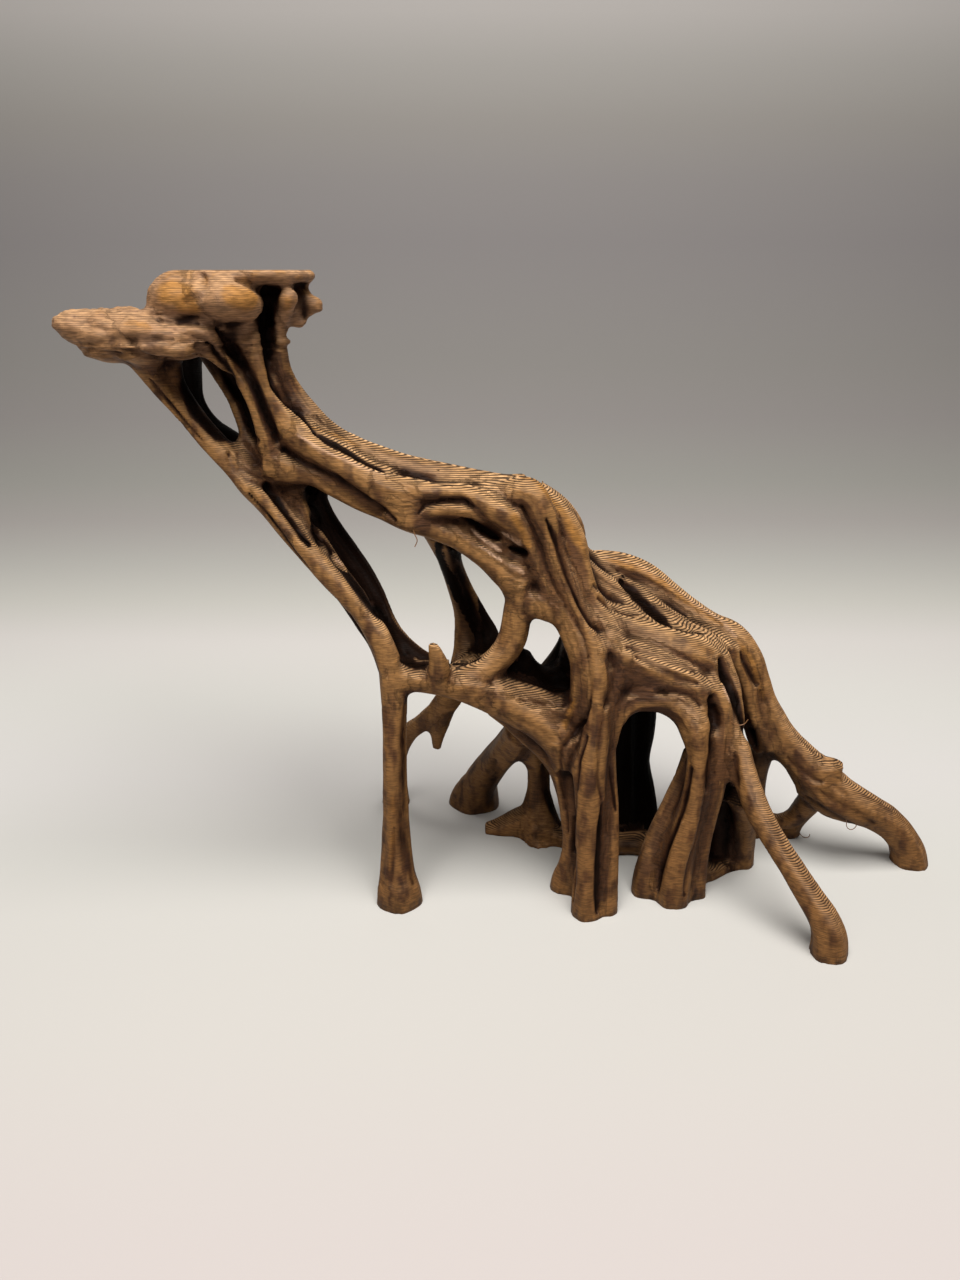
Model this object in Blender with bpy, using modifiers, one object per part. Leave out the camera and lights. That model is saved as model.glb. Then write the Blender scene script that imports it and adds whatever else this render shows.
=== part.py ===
"""Mangrove root: a printed wood-brown model of a stilt-rooted mangrove, grown as one piece.

Two flat ledges stand on a bundle of stems. The stems run down a leaning trunk to a hump, and from
there a vault of roots spreads to the feet. Every root is a round strand along a smooth line, and
all strands and lobes are fused into one closed body that stands on its own flat feet.
"""

import bpy
import bmesh
from mathutils import Matrix, Vector

# Driving dimensions, in metres
MM = 0.001
HEIGHT = 180 * MM
LOWER_LEDGE_TOP = 170.5 * MM
EYE_X = -17 * MM
EYE_DISTANCE = 261 * MM
FUSING_VOXEL = 1.0 * MM
FUSING_PASSES = 4
BODY_TRIANGLES = 9800
# Softening and thinning draw the skin in by about this much, so every strand starts thicker by it
SKIN = 0.3 * MM

# The root is drawn in its front view. The eye stands EYE_DISTANCE in front of the middle plane and
# as high as the top. Each point is (across, up, depth, radius) in millimetres: across and up are
# where the front view shows it on the middle plane, depth is how far behind that plane it really
# lies, and sight_point carries it there.
STEMS = {
    "outer stem": [
        (-104.4, 158.4, -6, 4.4), (-101.4, 152, -6, 2.9), (-96.5, 145, -6, 2.3), (-92.9, 140, -6, 2.3),
        (-89, 135, -6, 2.4), (-84.4, 130, -6, 2.6), (-80.4, 125, -6, 2.9),
    ],
    "second stem": [
        (-99, 159, -4, 3.4), (-97.5, 152, -4, 2.8), (-94.5, 146, -4, 2.6), (-91, 140.5, -4, 2.6),
        (-87, 135.5, -4, 2.8), (-83, 130.5, -4, 3.2), (-77.5, 124.5, -4, 3.2),
    ],
    "loop stem": [
        (-93.5, 161, 7, 4), (-93.8, 154, 10, 3.6), (-93, 147, 11, 2.9), (-89.5, 141, 11, 2.8),
        (-84.5, 137, 9, 3), (-79, 133, 6, 3.5), (-73, 128, 4, 4),
    ],
    "stem by the hole": [
        (-88.5, 162, 2, 2.8), (-85.8, 155, 2, 2), (-82.2, 148, 1, 1.9), (-79.8, 141, 0, 2.1),
        (-78.3, 135, -1, 2.8), (-75, 129, -2, 3.6),
    ],
    "slim stem": [
        (-91, 166, -6, 2.6), (-86, 160.5, -6, 1.9), (-81.5, 155, -6, 1.7), (-78, 149, -6, 1.7),
        (-75.8, 142, -6, 1.8), (-74.2, 135, -5, 2.4), (-71, 129, -4, 3.4),
    ],
    "stem behind the slim one": [
        (-85, 170, 6, 4), (-84, 164, 6, 3.4), (-82.6, 157, 6, 2.8), (-80.8, 150, 5, 2.4),
        (-78.4, 143, 4, 2.3), (-76.5, 136, 3, 3), (-73, 130, 3, 4),
    ],
    "main stem": [
        (-80, 171, -4, 4.2), (-77.5, 165, -4, 3.2), (-76.3, 160, -4, 2.9), (-75, 155, -4, 3),
        (-73.2, 150, -4, 3.2), (-71, 145, -4, 3.6), (-68, 140.8, -4, 4),
    ],
    "dark stem": [
        (-72.5, 173, 3, 3.2), (-71.7, 165, 4, 2.6), (-71.6, 158, 4, 2.6), (-70, 151, 4, 2.8),
        (-66.5, 145, 4, 3), (-62, 139.5, 3, 3.4), (-56, 135, 3, 3.6),
    ],
    "right stem": [
        (-66.9, 178, -3, 2.8), (-67.4, 172, -2, 2.5), (-68.6, 166, 0, 2), (-69.3, 160, 1, 2.1),
        (-68.8, 155, 2, 2.3), (-66.6, 150, 3, 2.7), (-63.4, 145, 3, 3.1), (-60.5, 140.8, 3, 3.5),
    ],
}
TRUNK = {
    "crest strand": [
        (-60.5, 140.8, 3, 3.5), (-57, 137.5, 3, 3.8), (-52, 134.7, 3, 3.9), (-46, 132.4, 3, 3.8),
        (-40, 130.5, 3, 3.7), (-32, 128.6, 3, 3.6), (-24, 127, 2, 3.5), (-16, 125.2, 1, 3.5),
        (-9, 124.2, 0, 3.5), (-4, 124.5, -2, 3.7),
    ],
    "middle strand": [
        (-68, 140.8, -4, 4), (-64, 137.5, -4, 4.3), (-60, 134.5, -4, 4.6), (-55, 131.3, -4, 4.8),
        (-50, 127.8, -4, 5), (-45, 124.8, -4, 5.2), (-40, 122.2, -4, 5.4), (-35, 119.5, -4, 5),
    ],
    "lower strand": [
        (-76, 131, -3, 4.4), (-69, 130, -3, 4.4), (-62, 128.5, -3, 3.7), (-56.5, 124.9, -3, 3.3),
        (-50, 120.9, -3, 2.8), (-44, 118.3, -3, 2.7), (-38, 116, -3, 3.2),
    ],
    "core of the trunk": [
        (-76, 134, 1, 4.5), (-66, 132, 2, 4.5), (-55, 129, 2, 4.8), (-45, 125, 2, 5),
        (-35, 121, 2, 5), (-26, 119.5, 2, 3.6),
    ],
    "back of the trunk": [
        (-76, 133, 6, 4.5), (-65, 131, 8, 4.5), (-54, 127.5, 8.5, 4.5), (-44, 124, 8.5, 4.5),
        (-34, 121, 8, 4.5), (-24, 119, 8, 4.5), (-14, 117, 8, 4.6), (-4, 114, 8, 4.8),
    ],
    "neck": [(-83, 134, 0, 3.6), (-77, 129.5, 0, 4.8), (-70, 126.8, 1, 4.2), (-64, 126.5, 2, 3.4)],
    "brow of the eye": [
        (-45, 125.5, -4, 4), (-38, 124, -5, 3.3), (-30, 123, -6, 2.9), (-23, 122.5, -6, 2.8),
        (-17, 120.5, -6, 3.2), (-11, 117.5, -6, 3.6), (-6, 113.5, -6, 3.4), (-2.5, 108.5, -6, 3),
    ],
    "lid of the eye": [
        (-37, 117, -5, 3), (-31, 118.3, -7, 2.2), (-25, 118.5, -7.5, 2), (-20, 117, -7, 1.8),
        (-16.5, 114.5, -6, 1.5),
    ],
    "sill of the eye": [
        (-42, 120, -4, 5), (-36, 116, -5, 4.4), (-30, 113.2, -5, 3.4), (-23, 110, -5, 3.1),
        (-15, 104.6, -5, 3.3), (-9, 99, -5, 4), (-4, 95, -6, 4),
    ],
    "floor of the eye": [
        (-27, 114, 1, 3.4), (-18, 109, 1, 4), (-10, 105, 1, 4.4), (-3, 101, 0, 4),
    ],
    "inside of the hump": [
        (-8, 117, 3, 4.6), (0, 110, 4, 5), (6, 99, 4, 5), (11, 88, 3, 5.5), (15, 76, 0, 6),
        (16, 64, -4, 6), (17, 52, -6, 5),
    ],
}
LEFT_BRANCH = {
    "outer strand of the branch": [
        (-80.4, 125, -6, 2.9), (-76, 120, -6, 2.9), (-72.3, 115, -6.5, 2.9), (-68.4, 110, -7, 3),
        (-64.3, 105, -7, 3.1), (-60.3, 100, -7.5, 3.1), (-56.2, 95, -8, 3.1), (-52.2, 90, -8.5, 3.1),
        (-48.7, 85, -9, 3.2), (-46.2, 80, -10, 3.3), (-44.4, 75, -10.5, 3.5), (-43.3, 70, -11, 3.6),
        (-42.7, 65, -11, 3.8), (-42.5, 60, -11, 3.9),
    ],
    "second strand of the branch": [
        (-77.5, 124.5, -4, 3.2), (-73, 118.5, -4.5, 2.8), (-69.3, 112.5, -5, 2.7),
        (-65.3, 106.5, -5.5, 2.8), (-60.8, 100.5, -6, 2.9), (-55.5, 94, -6.5, 2.9),
        (-50.5, 87.5, -7.5, 3), (-46.5, 80, -9, 3.2), (-43.5, 72, -10.5, 3.6),
    ],
    "middle strand of the branch": [
        (-71, 127, 0, 4), (-67.3, 120, 0, 2.7), (-64.5, 113.5, -1, 2.3), (-61, 107.5, -2, 2.5),
        (-57, 101, -3.5, 2.6), (-52.5, 94, -5.5, 2.7), (-49, 87, -8, 2.8),
    ],
    "inner strand of the branch": [
        (-64, 124, 6, 3.6), (-60.3, 116, 8, 2.9), (-57, 110.5, 8, 2.9), (-53.4, 105, 7.5, 2.9),
        (-50.5, 100, 6.5, 2.9), (-48, 95, 5, 2.9), (-45.9, 90, 3, 2.9), (-43.9, 85, 1, 2.9),
        (-41.1, 80, -2, 3), (-37.4, 75.5, -4, 3.2), (-32, 71.6, -5, 3.2), (-27, 69.5, -5, 3.6),
    ],
    "back strand of the branch": [
        (-77, 128, 6, 4), (-71.5, 119, 9, 3.4), (-66, 110, 9.5, 3.1), (-61, 102.5, 8, 3),
        (-56, 95, 5, 3), (-51, 87, 1, 3), (-46, 78, -5, 3.2), (-43, 70, -9, 3.6),
    ],
    "front leg": [
        (-42.5, 60, -11, 3.9), (-42.8, 50, -12, 3.7), (-43.1, 40, -13, 3.6), (-43.2, 30, -13.5, 3.7),
        (-43.2, 20, -14, 4), (-43.3, 10, -14, 4.6), (-43.3, 0, -14.5, 5.6), (-43.1, -6, -15, 6.8),
        (-43.1, -13, -15, 7.4),
    ],
}
MIDDLE = {
    "link": [
        (-41, 67.5, -11, 3.8), (-35, 67.2, -9.5, 3.8), (-30, 66.6, -8.5, 4), (-25, 65.9, -8, 4.6),
        (-19, 64.5, -7, 5.2), (-12, 61.3, -6, 5.6), (-4, 57, -6, 6), (4, 52.5, -7, 6.2),
        (11, 48, -9, 5.6), (15, 41, -12, 4.8),
    ],
    "arc of the link": [
        (-4, 96, -5, 4), (-5.6, 91, -5, 4.1), (-6.5, 85.5, -5, 4), (-7.6, 80, -5, 4.1),
        (-11, 74.5, -5.5, 3.8), (-16, 69.8, -6, 4), (-22, 67, -7, 4),
    ],
    "upper web": [
        (-12, 66.5, -4, 4), (-4, 62, -3, 4.2), (4, 58, -4, 4.6), (11, 57.5, -7, 5), (16, 58, -10, 4.4),
    ],
    "lower web": [
        (-12.5, 60, -3, 4.3), (-7, 55.2, -2, 4.3), (-1.5, 50, -2, 4.6), (4, 44.2, -5, 4.5),
        (8, 37, -8, 3.8), (10.3, 29, -9, 3.5), (12, 20, -10, 3.5), (12.6, 9, -10.5, 3.3),
        (11.7, 2.5, -10, 3.6), (10.4, -3, -8.5, 4.3), (10, -9, -8, 4.7),
    ],
    "thorn": [
        (-29.6, 66, -10, 3.6), (-29.1, 71, -12, 3), (-29.9, 75, -12.8, 2.2), (-31.2, 79.4, -13.3, 1),
    ],
    "web to the brace": [
        (-24, 66.5, -5, 4.4), (-22, 68.2, 3, 4.8), (-20, 69.5, 11, 4.6), (-19, 71, 18, 4.2),
    ],
    "brace": [
        (-30, 114, 7, 4), (-26.4, 105, 16, 2.8), (-23.6, 96, 22, 2.8), (-21.4, 88, 24, 3.1),
        (-20.8, 80, 23, 3.6), (-21.3, 72, 20, 4.2), (-24.3, 65, 18, 4), (-28.6, 58, 20, 3.4),
        (-34.2, 53, 25, 2.6), (-38.8, 49, 30, 2.6), (-42, 42, 35, 2.7), (-43, 34, 40, 3),
        (-43, 28, 43, 3.8), (-43, 23, 43, 4.6),
    ],
    "inner strand of the brace": [
        (-24.5, 110, 8, 3.4), (-24.7, 105, 14, 2.5), (-23, 99.5, 20, 2.2), (-20.4, 93, 23, 2.3),
        (-17, 86, 24, 2.6), (-14.4, 80, 23, 3.1), (-14.5, 73, 18, 3.8), (-18, 67, 10, 4),
    ],
    "spur": [(-27, 60, 19, 3.2), (-28.8, 53, 21, 2.6), (-29.9, 48, 22, 1.8), (-30.2, 43.2, 22, 1)],
    "back left leg": [
        (-4, 51, 2, 5), (-7.8, 45.3, 16, 4.8), (-12.6, 39.3, 29, 4.7), (-16.8, 32.6, 37, 5.2),
        (-18.4, 27, 42.5, 7.4), (-18.7, 21, 44, 8.6),
    ],
    "inner left leg": [
        (-1, 52, 5, 4.8), (-0.5, 44, 14, 4.4), (0.8, 37, 20, 3.3), (1.1, 30, 22, 3.4), (1.3, 24, 22, 4.8),
        (2.2, 17, 21, 6), (2.2, 11, 20, 6.6),
    ],
    "toe of the inner left leg": [
        (1, 21, 21, 4.6), (-5, 18.2, 23, 4.3), (-10.5, 15.9, 24, 3.6), (-15.8, 15, 24.5, 2.4),
    ],
    "root along the ground": [
        (2, 15.5, 21, 4.6), (9, 12.8, 17.5, 4), (17, 11.4, 14.5, 4), (25, 11, 12, 4.2), (33, 11, 12, 4.2),
        (41, 9, 5, 3.6),
    ],
    "strand in the window": [
        (12, 88, 3, 3.6), (9.4, 80.5, 8, 3), (6.5, 75, 11, 2.7), (3.5, 70.5, 13, 2.7),
        (0, 65.5, 13, 3.4), (-3, 61, 8, 4),
    ],
    "shade of the window": [(13, 85, 2, 4.3), (11, 77, 6, 4.1), (9.5, 69, 9, 4.2), (7, 62, 10, 4.2)],
    "floor of the window": [(-8.5, 77, -1, 3.4), (-5.5, 70.8, 4, 3.8), (-1, 65.2, 8, 4), (7, 62, 6, 4.2)],
}
HUMP = {
    "front strand of the hump": [
        (-9, 122.5, -4, 3.8), (-4, 122.8, -5, 4.4), (0, 117.5, -6, 3.8), (2.2, 110.5, -6, 3.2),
        (4.2, 103.5, -6.5, 3.1), (6.7, 97, -7, 3.1), (9.6, 90, -8, 3.1), (12.6, 83.5, -9, 3.3),
        (15.5, 76, -11, 3.6), (17, 68, -13, 3.8), (17.7, 60, -14, 3.5),
    ],
    "side strand of the hump": [
        (-7, 121.9, 2, 5), (-0.7, 119.7, 2, 5.1), (4.9, 114.7, 1, 4.7), (8.5, 109, 0, 4.2),
        (10.2, 103.2, -1, 3.9), (12, 97.5, -2, 3.8), (14.6, 91, -3, 3.9), (18, 84.5, -5, 4),
        (21, 77.5, -7, 4.4), (21.7, 70, -9, 4.4), (20.8, 62, -11, 3.8),
    ],
    "inner strand of the hump": [
        (-2.5, 108.5, -6, 3), (0, 102, -6.5, 2.8), (3, 95, -7, 2.8), (6, 88, -8, 2.8),
        (9, 81.5, -9, 2.8), (12.3, 74, -10, 3.2), (13.6, 66, -10, 4), (14, 58, -9, 4.5),
        (13.3, 50, -8, 4.4), (11.5, 42, -8, 4),
    ],
    "web over the window": [(-9, 98, -4, 3.6), (-3.5, 92.5, -5, 4.4), (1.5, 90.2, -6, 4.2), (6, 88, -6, 4)],
    "front leg of the cluster": [
        (17.7, 60, -14, 3.5), (18.3, 50, -15, 3.9), (17.2, 42, -16, 4.5), (16.6, 34, -17, 4.8),
        (17, 25, -18, 4.6), (17.4, 15, -19, 4.3), (17.5, 5, -20, 4.2), (17.5, -5, -21, 4.3),
        (17.6, -12, -21.3, 4.6), (17.6, -19, -21.3, 4.9),
    ],
    "right leg of the cluster": [
        (20.8, 62, -11, 3.8), (21.5, 55, -12, 2.8), (21.6, 47, -12, 2.6), (21.9, 39, -13, 2.7),
        (22.7, 30, -14, 2.9), (23.5, 20, -15, 3), (24, 10, -17, 3), (24.2, 0, -18.5, 3),
        (24.2, -9, -19.5, 3.3), (24.2, -17, -20, 3.7),
    ],
    "back of the cluster": [
        (17, 52, -6, 5), (18, 40, -8, 4.6), (18.5, 25, -10, 4.4), (18.5, 10, -12, 4.4),
        (18.5, -5, -14, 4.8), (18.5, -14, -14, 5.2),
    ],
}
VAULT = {
    "ridge": [
        (-2.2, 122.3, 5, 4.3), (3.6, 118.2, 7, 4.3), (7.7, 112.8, 8.5, 4.3), (9, 106.6, 10.5, 4.1),
        (13, 102.5, 13, 4.2), (18, 101.7, 15, 4.6), (23, 100.6, 16, 4.9), (29, 98, 17, 5),
        (36, 92.4, 17, 5), (43, 87, 16, 5), (50, 82.8, 15, 4.9), (56, 80.2, 14, 4.8),
        (60.8, 75, 13, 4.3), (64.2, 68, 12, 3.8), (67, 60.5, 11, 4), (70.6, 53, 10, 4.7),
        (74.9, 46.6, 9, 5), (80.3, 41, 8, 5.2), (86, 34.9, 7, 6.5), (92, 28.8, 6, 7.1),
        (98.5, 25.1, 5, 6.3), (105.5, 21.8, 5, 5.3), (111.9, 17.3, 5, 4.7), (116.7, 11.6, 5, 4.6),
        (119.5, 5.6, 5.5, 5.3), (120.2, 0, 6, 6.2),
    ],
    "knob on the ridge": [(87, 36.5, 5, 4), (90.7, 37.2, 5, 3.5), (93.2, 35.6, 5, 3)],
    "inner strand of the ridge": [
        (48, 79, 9, 4.2), (55, 76, 9, 3.5), (59.3, 71, 9, 2.8), (61.6, 65, 9, 2.7),
        (63.6, 58, 9, 3), (66.6, 51, 9, 4), (70, 45, 9.5, 4.4),
    ],
    "leg under the ridge": [
        (69, 47, 12, 4.4), (67.8, 38, 16, 3.6), (67.7, 30, 20, 3.5), (68.2, 24, 22, 4),
        (68.6, 17, 24, 4.8), (68.6, 13, 24, 5.2),
    ],
    "small right leg": [
        (88, 30, 8, 4.8), (84.9, 24.8, 13, 3.7), (82, 20.2, 18, 3.2), (80.3, 16.7, 22, 3.3),
        (79.7, 12.5, 23, 3.7),
    ],
    "rung by the small leg": [
        (84, 21.6, 14, 2.7), (78, 18.7, 18, 2.4), (72.5, 18.7, 22, 2.6), (68.5, 18.6, 23, 3.4),
    ],
    "knob in the gap": [(84, 30, 8, 3.6), (80.9, 28.6, 9, 1.5)],
    "floor of the valley": [
        (8, 106, 7, 4), (14, 98.5, 10, 4), (22, 95.3, 12, 4.4), (29, 92, 12.5, 4.5),
        (36, 87, 12.5, 4.6), (43, 82.5, 12, 4.6), (50, 78.5, 10, 4.4),
    ],
    "strand beside the valley": [
        (8, 104, 4, 4), (14.5, 98, 6, 4), (21, 93.3, 7, 3.7), (27, 90, 7, 3.6), (34, 86.3, 7, 4),
        (41, 81.5, 6.5, 4.2), (48, 78, 5, 4.4), (53.5, 73, 4, 3.8),
    ],
    "back of the saddle": [
        (12, 94.5, 1, 4), (19, 89.5, 3, 4.2), (27, 86, 4, 4.6), (35, 82.3, 4, 5), (43, 78.7, 3.5, 5),
    ],
    "saddle": [
        (12, 93, -2, 4), (18, 86.8, -2, 4.4), (24, 83.3, -1, 4.9), (31, 80.8, 0, 5.4),
        (38, 78.2, 0, 5.8), (45, 75.5, 0, 5.8), (50.5, 71.5, 0, 5), (54.5, 66, -2, 4),
    ],
    "front of the saddle": [
        (17, 78, -8, 4.6), (23, 75.3, -7, 5), (30, 72.3, -6, 5.4), (37, 69.3, -6, 5.4),
        (44, 66, -6, 5), (50, 61, -7, 4.4),
    ],
    "breast of the arch": [
        (20, 71, -8, 4.4), (28, 68, -7, 4.6), (36, 66, -7, 4.6), (44, 62, -8, 4.2), (49, 56, -9, 3.8),
    ],
    "arch": [
        (22, 46, -12, 2.6), (23.6, 54, -11, 3.2), (27.5, 60, -9, 4), (33, 61.6, -8, 4.4),
        (39.5, 60.2, -8, 4.4), (45, 56.3, -9.5, 4.7), (48.3, 50, -11.5, 4.7), (49.8, 42, -13, 3.7),
        (50, 34, -14, 3.6), (49.3, 25, -14.5, 4), (47.5, 15, -15, 4.4), (46.2, 5, -15, 4.9),
        (45.5, -4, -15, 5.2), (45.4, -13, -14.6, 5.5),
    ],
    "rib of the third leg": [
        (48.9, 44, -6, 3.4), (45.5, 33.5, -6, 2.6), (42.2, 24, -7, 2.8), (39.2, 14, -8, 3.4),
        (37.1, 4, -9.5, 3.9), (36.3, -4, -10.5, 4.2), (36.3, -10, -10.5, 4.4),
    ],
    "outer strand of the third leg": [
        (50, 67, -3, 4.4), (54.3, 61.5, -6, 3.6), (56.4, 54, -8, 3), (56.4, 45, -10, 2.9),
        (56, 36, -11, 2.9), (55.3, 27, -11, 2.9), (53.9, 17, -11, 2.8), (52.9, 7, -11.5, 2.8),
        (52.6, -3, -12, 3), (52.6, -11, -12, 3.3),
    ],
    "inside of the third leg": [
        (58, 46, 1, 4.4), (58.8, 32, 3, 4.2), (59.3, 17, 5, 4.4), (59.6, 5, 6, 4.8), (59.6, -2, 6, 5),
    ],
    "back of the third leg": [
        (48, 60, 4, 5), (52, 46, 2, 4.6), (52.5, 30, 0, 4.4), (51.5, 15, -2, 4.6), (50, -4, -4, 5.2),
    ],
    "long root": [
        (51.5, 74, 2, 4.6), (55.7, 67, -1, 3.4), (58.4, 60, -5, 2.8), (60.3, 52, -8, 2.9),
        (62, 44, -11, 3.1), (64.3, 36, -14, 3.5), (67.4, 28, -17, 3.8), (71.7, 19, -21, 3.7),
        (77.5, 9.5, -26, 3.6), (83.9, 0, -31, 3.8), (90.2, -10, -35, 4.3), (95.3, -18, -38, 4.8),
        (98.3, -25.5, -39.5, 5.5), (99, -34, -39.5, 6.2),
    ],
    "leg behind the long root": [
        (63.5, 28, -9, 4), (65.4, 22, -4, 3.6), (66.2, 14, 1, 3.4), (66.4, 7, 4, 3.6), (66.4, 0, 5, 4),
    ],
    "root between the legs": [(47, 0, -8, 4), (54, -0.5, -4, 3.4), (61, 1.5, 2, 3), (66.4, 4, 5, 3.5)],
}
BACK = {
    "first back leg": [
        (-2, 118, 8, 4), (4, 108, 13, 4), (8.5, 97, 18, 4), (11, 85, 22, 4.2), (12.6, 72, 26, 4.4),
        (13.5, 60, 29, 4.4), (14.8, 48, 32, 4.4), (16.3, 36, 35, 4.6), (17.5, 27, 37, 5.4),
        (17.5, 19, 38, 6.6),
    ],
    "post": [
        (19, 98, 12, 4), (23.5, 88, 15, 4.4), (27, 76, 18, 4.7), (29.9, 64, 20, 5.2), (30.5, 52, 22, 5.1),
        (29.9, 40, 24, 4.8), (31.3, 28, 25, 6.2), (31.6, 19, 25, 7), (31.6, 12, 25, 7.6),
    ],
    "strand by the post": [
        (22, 74, 10, 4), (25, 60, 14, 4), (25.6, 46, 16, 4), (25.8, 30, 17.5, 4.4),
        (26.2, 15, 18, 5), (26.2, 9, 18, 5),
    ],
    "second back leg": [
        (36, 89, 19, 4), (44, 79, 23, 4.2), (49.5, 66, 27, 4.2), (52.3, 54, 31, 4.2),
        (53.3, 42, 34, 4.4), (53.3, 32, 36, 4.8), (53.3, 25, 37, 5.6), (53.3, 18, 37, 6.6),
    ],
    "rung at the back": [(14, 57, 29, 3.2), (22, 52.5, 27, 3), (30, 50, 23, 3.6)],
    "outer slope of the back": [
        (22, 97, 20, 4), (31, 90, 23, 4.4), (40, 83, 22, 4.4), (50, 78, 20, 4.4), (58, 72, 17, 4),
    ],
    "brow of the back": [
        (-20, 120, 9, 4), (-10, 118.5, 10, 4.2), (0, 113, 12, 4.4), (8, 105, 15, 4.2), (16, 98, 18, 4.2),
    ],
}

# Lobes of the ledges: (across, up, depth) of the middle, then the half sizes (x, y, z), in mm
UPPER_LEDGE = {
    "left lobe": (-92.4, 173.2, -2, 9, 13, 7),
    "front lobe": (-82.5, 173.4, -9, 9.7, 9, 5.2),
    "slab": (-76, 179, 3, 16.8, 16, 3.6),
    "right end of the slab": (-67.4, 178.6, 3, 8.6, 12, 3),
    "knob on the stem": (-66.6, 173.6, -4, 2.6, 3, 3.6),
    "back left lobe": (-88, 174.4, 12, 10, 9, 6),
    "back right lobe": (-74, 174.8, 11, 9, 8.6, 5.2),
    "small knob": (-58.8, 171.6, 4, 1.8, 2, 1.8),
    "neck of the small knob": (-61.6, 171.6, 4, 2.8, 2.8, 3.4),
    "crumb under the knob": (-63.6, 168.8, 3, 2.2, 2.4, 3),
    "root of the small knob": (-64.4, 173.6, 3, 2.8, 3, 3.6),
}
LOWER_LEDGE = {
    "tip": (-120.2, 166.6, -7, 6.8, 8.5, 4.4),
    "chin of the tip": (-116.5, 162.6, -6.5, 5.5, 7, 4.4),
    "first lobe": (-112, 164.3, -6, 9, 11, 7.1),
    "second lobe": (-103.5, 163.7, -7, 8.5, 12, 7.2),
    "third lobe": (-95, 163.6, -8, 8, 10.5, 5.6),
    "fold under the upper ledge": (-88, 164.6, -7, 6, 8.5, 5),
    "back lobe": (-111, 165.6, 8, 10, 10, 5.6),
    "inner back lobe": (-98, 165, 9, 11, 10, 6),
}

WOOD_BROWN = (0.235, 0.118, 0.055, 1)


def sight_point(across, up, depth):
    """Where the front view's point really lies at its depth, and how much larger it is there."""
    eye = Vector((EYE_X, -EYE_DISTANCE, HEIGHT))
    on_plane = Vector((across * MM, 0, up * MM))
    growth = (EYE_DISTANCE + depth * MM) / EYE_DISTANCE
    return eye + (on_plane - eye) * growth, growth


def strand_mesh(name, points):
    """One root as a closed tube: a curve through its points, as thick as they say."""
    curve = bpy.data.curves.new(name, "CURVE")
    curve.dimensions = "3D"
    curve.bevel_depth = MM
    curve.bevel_resolution = 3
    curve.resolution_u = 5
    curve.use_fill_caps = True
    line = curve.splines.new("BEZIER")
    line.bezier_points.add(len(points) - 1)
    for knot, (across, up, depth, radius) in zip(line.bezier_points, points):
        knot.co, growth = sight_point(across, up, depth)
        knot.radius = radius * growth + SKIN / MM
        knot.handle_left_type = "AUTO"
        knot.handle_right_type = "AUTO"
    holder = bpy.data.objects.new(name, curve)
    bpy.context.scene.collection.objects.link(holder)
    mesh = bpy.data.meshes.new_from_object(holder.evaluated_get(bpy.context.evaluated_depsgraph_get()))
    bpy.data.objects.remove(holder)
    return mesh


def add_strands(body, roots):
    """Tubes with welded caps for a group of roots, all in the body's bmesh."""
    for name, points in roots.items():
        strand = strand_mesh(name, points)
        body.from_mesh(strand)
        bpy.data.meshes.remove(strand)
    bmesh.ops.remove_doubles(body, verts=body.verts, dist=0.001 * MM)


def add_lobes(body, lobes, flat_top):
    """Rounded lobes of a ledge, their tops pressed to one level."""
    for across, up, depth, half_x, half_y, half_z in lobes.values():
        middle, growth = sight_point(across, up, depth)
        size = Matrix.Diagonal((half_x * growth * MM, half_y * MM, half_z * growth * MM, 1))
        made = bmesh.ops.create_uvsphere(
            body, u_segments=24, v_segments=16, radius=1, matrix=Matrix.Translation(middle) @ size
        )
        for vertex in made["verts"]:
            vertex.co.z = min(vertex.co.z, flat_top)


def evaluated_copy(source, name):
    """A new object with the source's mesh as its modifiers leave it; the source goes."""
    mesh = bpy.data.meshes.new_from_object(source.evaluated_get(bpy.context.evaluated_depsgraph_get()))
    bpy.data.objects.remove(source)
    made = bpy.data.objects.new(name, mesh)
    bpy.context.scene.collection.objects.link(made)
    return made


def add_cutter(name, middle, size):
    """A box that a Boolean takes away."""
    bpy.ops.mesh.primitive_cube_add(size=1, location=middle)
    cutter = bpy.context.object
    cutter.name = name
    cutter.scale = size
    cutter.hide_render = True
    cutter.display_type = "WIRE"
    for holder in list(cutter.users_collection):
        holder.objects.unlink(cutter)
    cutters.objects.link(cutter)
    return cutter


def cut(target, cutter):
    modifier = target.modifiers.new(cutter.name, "BOOLEAN")
    modifier.operation = "DIFFERENCE"
    modifier.solver = "EXACT"
    modifier.object = cutter


for old in list(bpy.data.objects):
    bpy.data.objects.remove(old)

parts = bpy.data.collections.new("mangrove root")
cutters = bpy.data.collections.new("cutters")
bpy.context.scene.collection.children.link(parts)
bpy.context.scene.collection.children.link(cutters)

# All strands and lobes in one mesh, still crossing each other
loose = bmesh.new()
for group in (STEMS, TRUNK, LEFT_BRANCH, MIDDLE, HUMP, VAULT, BACK):
    add_strands(loose, group)
add_lobes(loose, LOWER_LEDGE, LOWER_LEDGE_TOP)
add_lobes(loose, UPPER_LEDGE, HEIGHT + 1 * MM)
bmesh.ops.recalc_face_normals(loose, faces=loose.faces)
mesh = bpy.data.meshes.new("strands")
loose.to_mesh(mesh)
loose.free()
strands = bpy.data.objects.new("strands", mesh)
bpy.context.scene.collection.objects.link(strands)

# Fused into one skin, with soft fillets where the roots meet
fuse = strands.modifiers.new("fuse", "REMESH")
fuse.mode = "VOXEL"
fuse.voxel_size = FUSING_VOXEL
soften = strands.modifiers.new("soften", "SMOOTH")
soften.factor = 0.5
soften.iterations = FUSING_PASSES
fused = evaluated_copy(strands, "fused")

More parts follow.
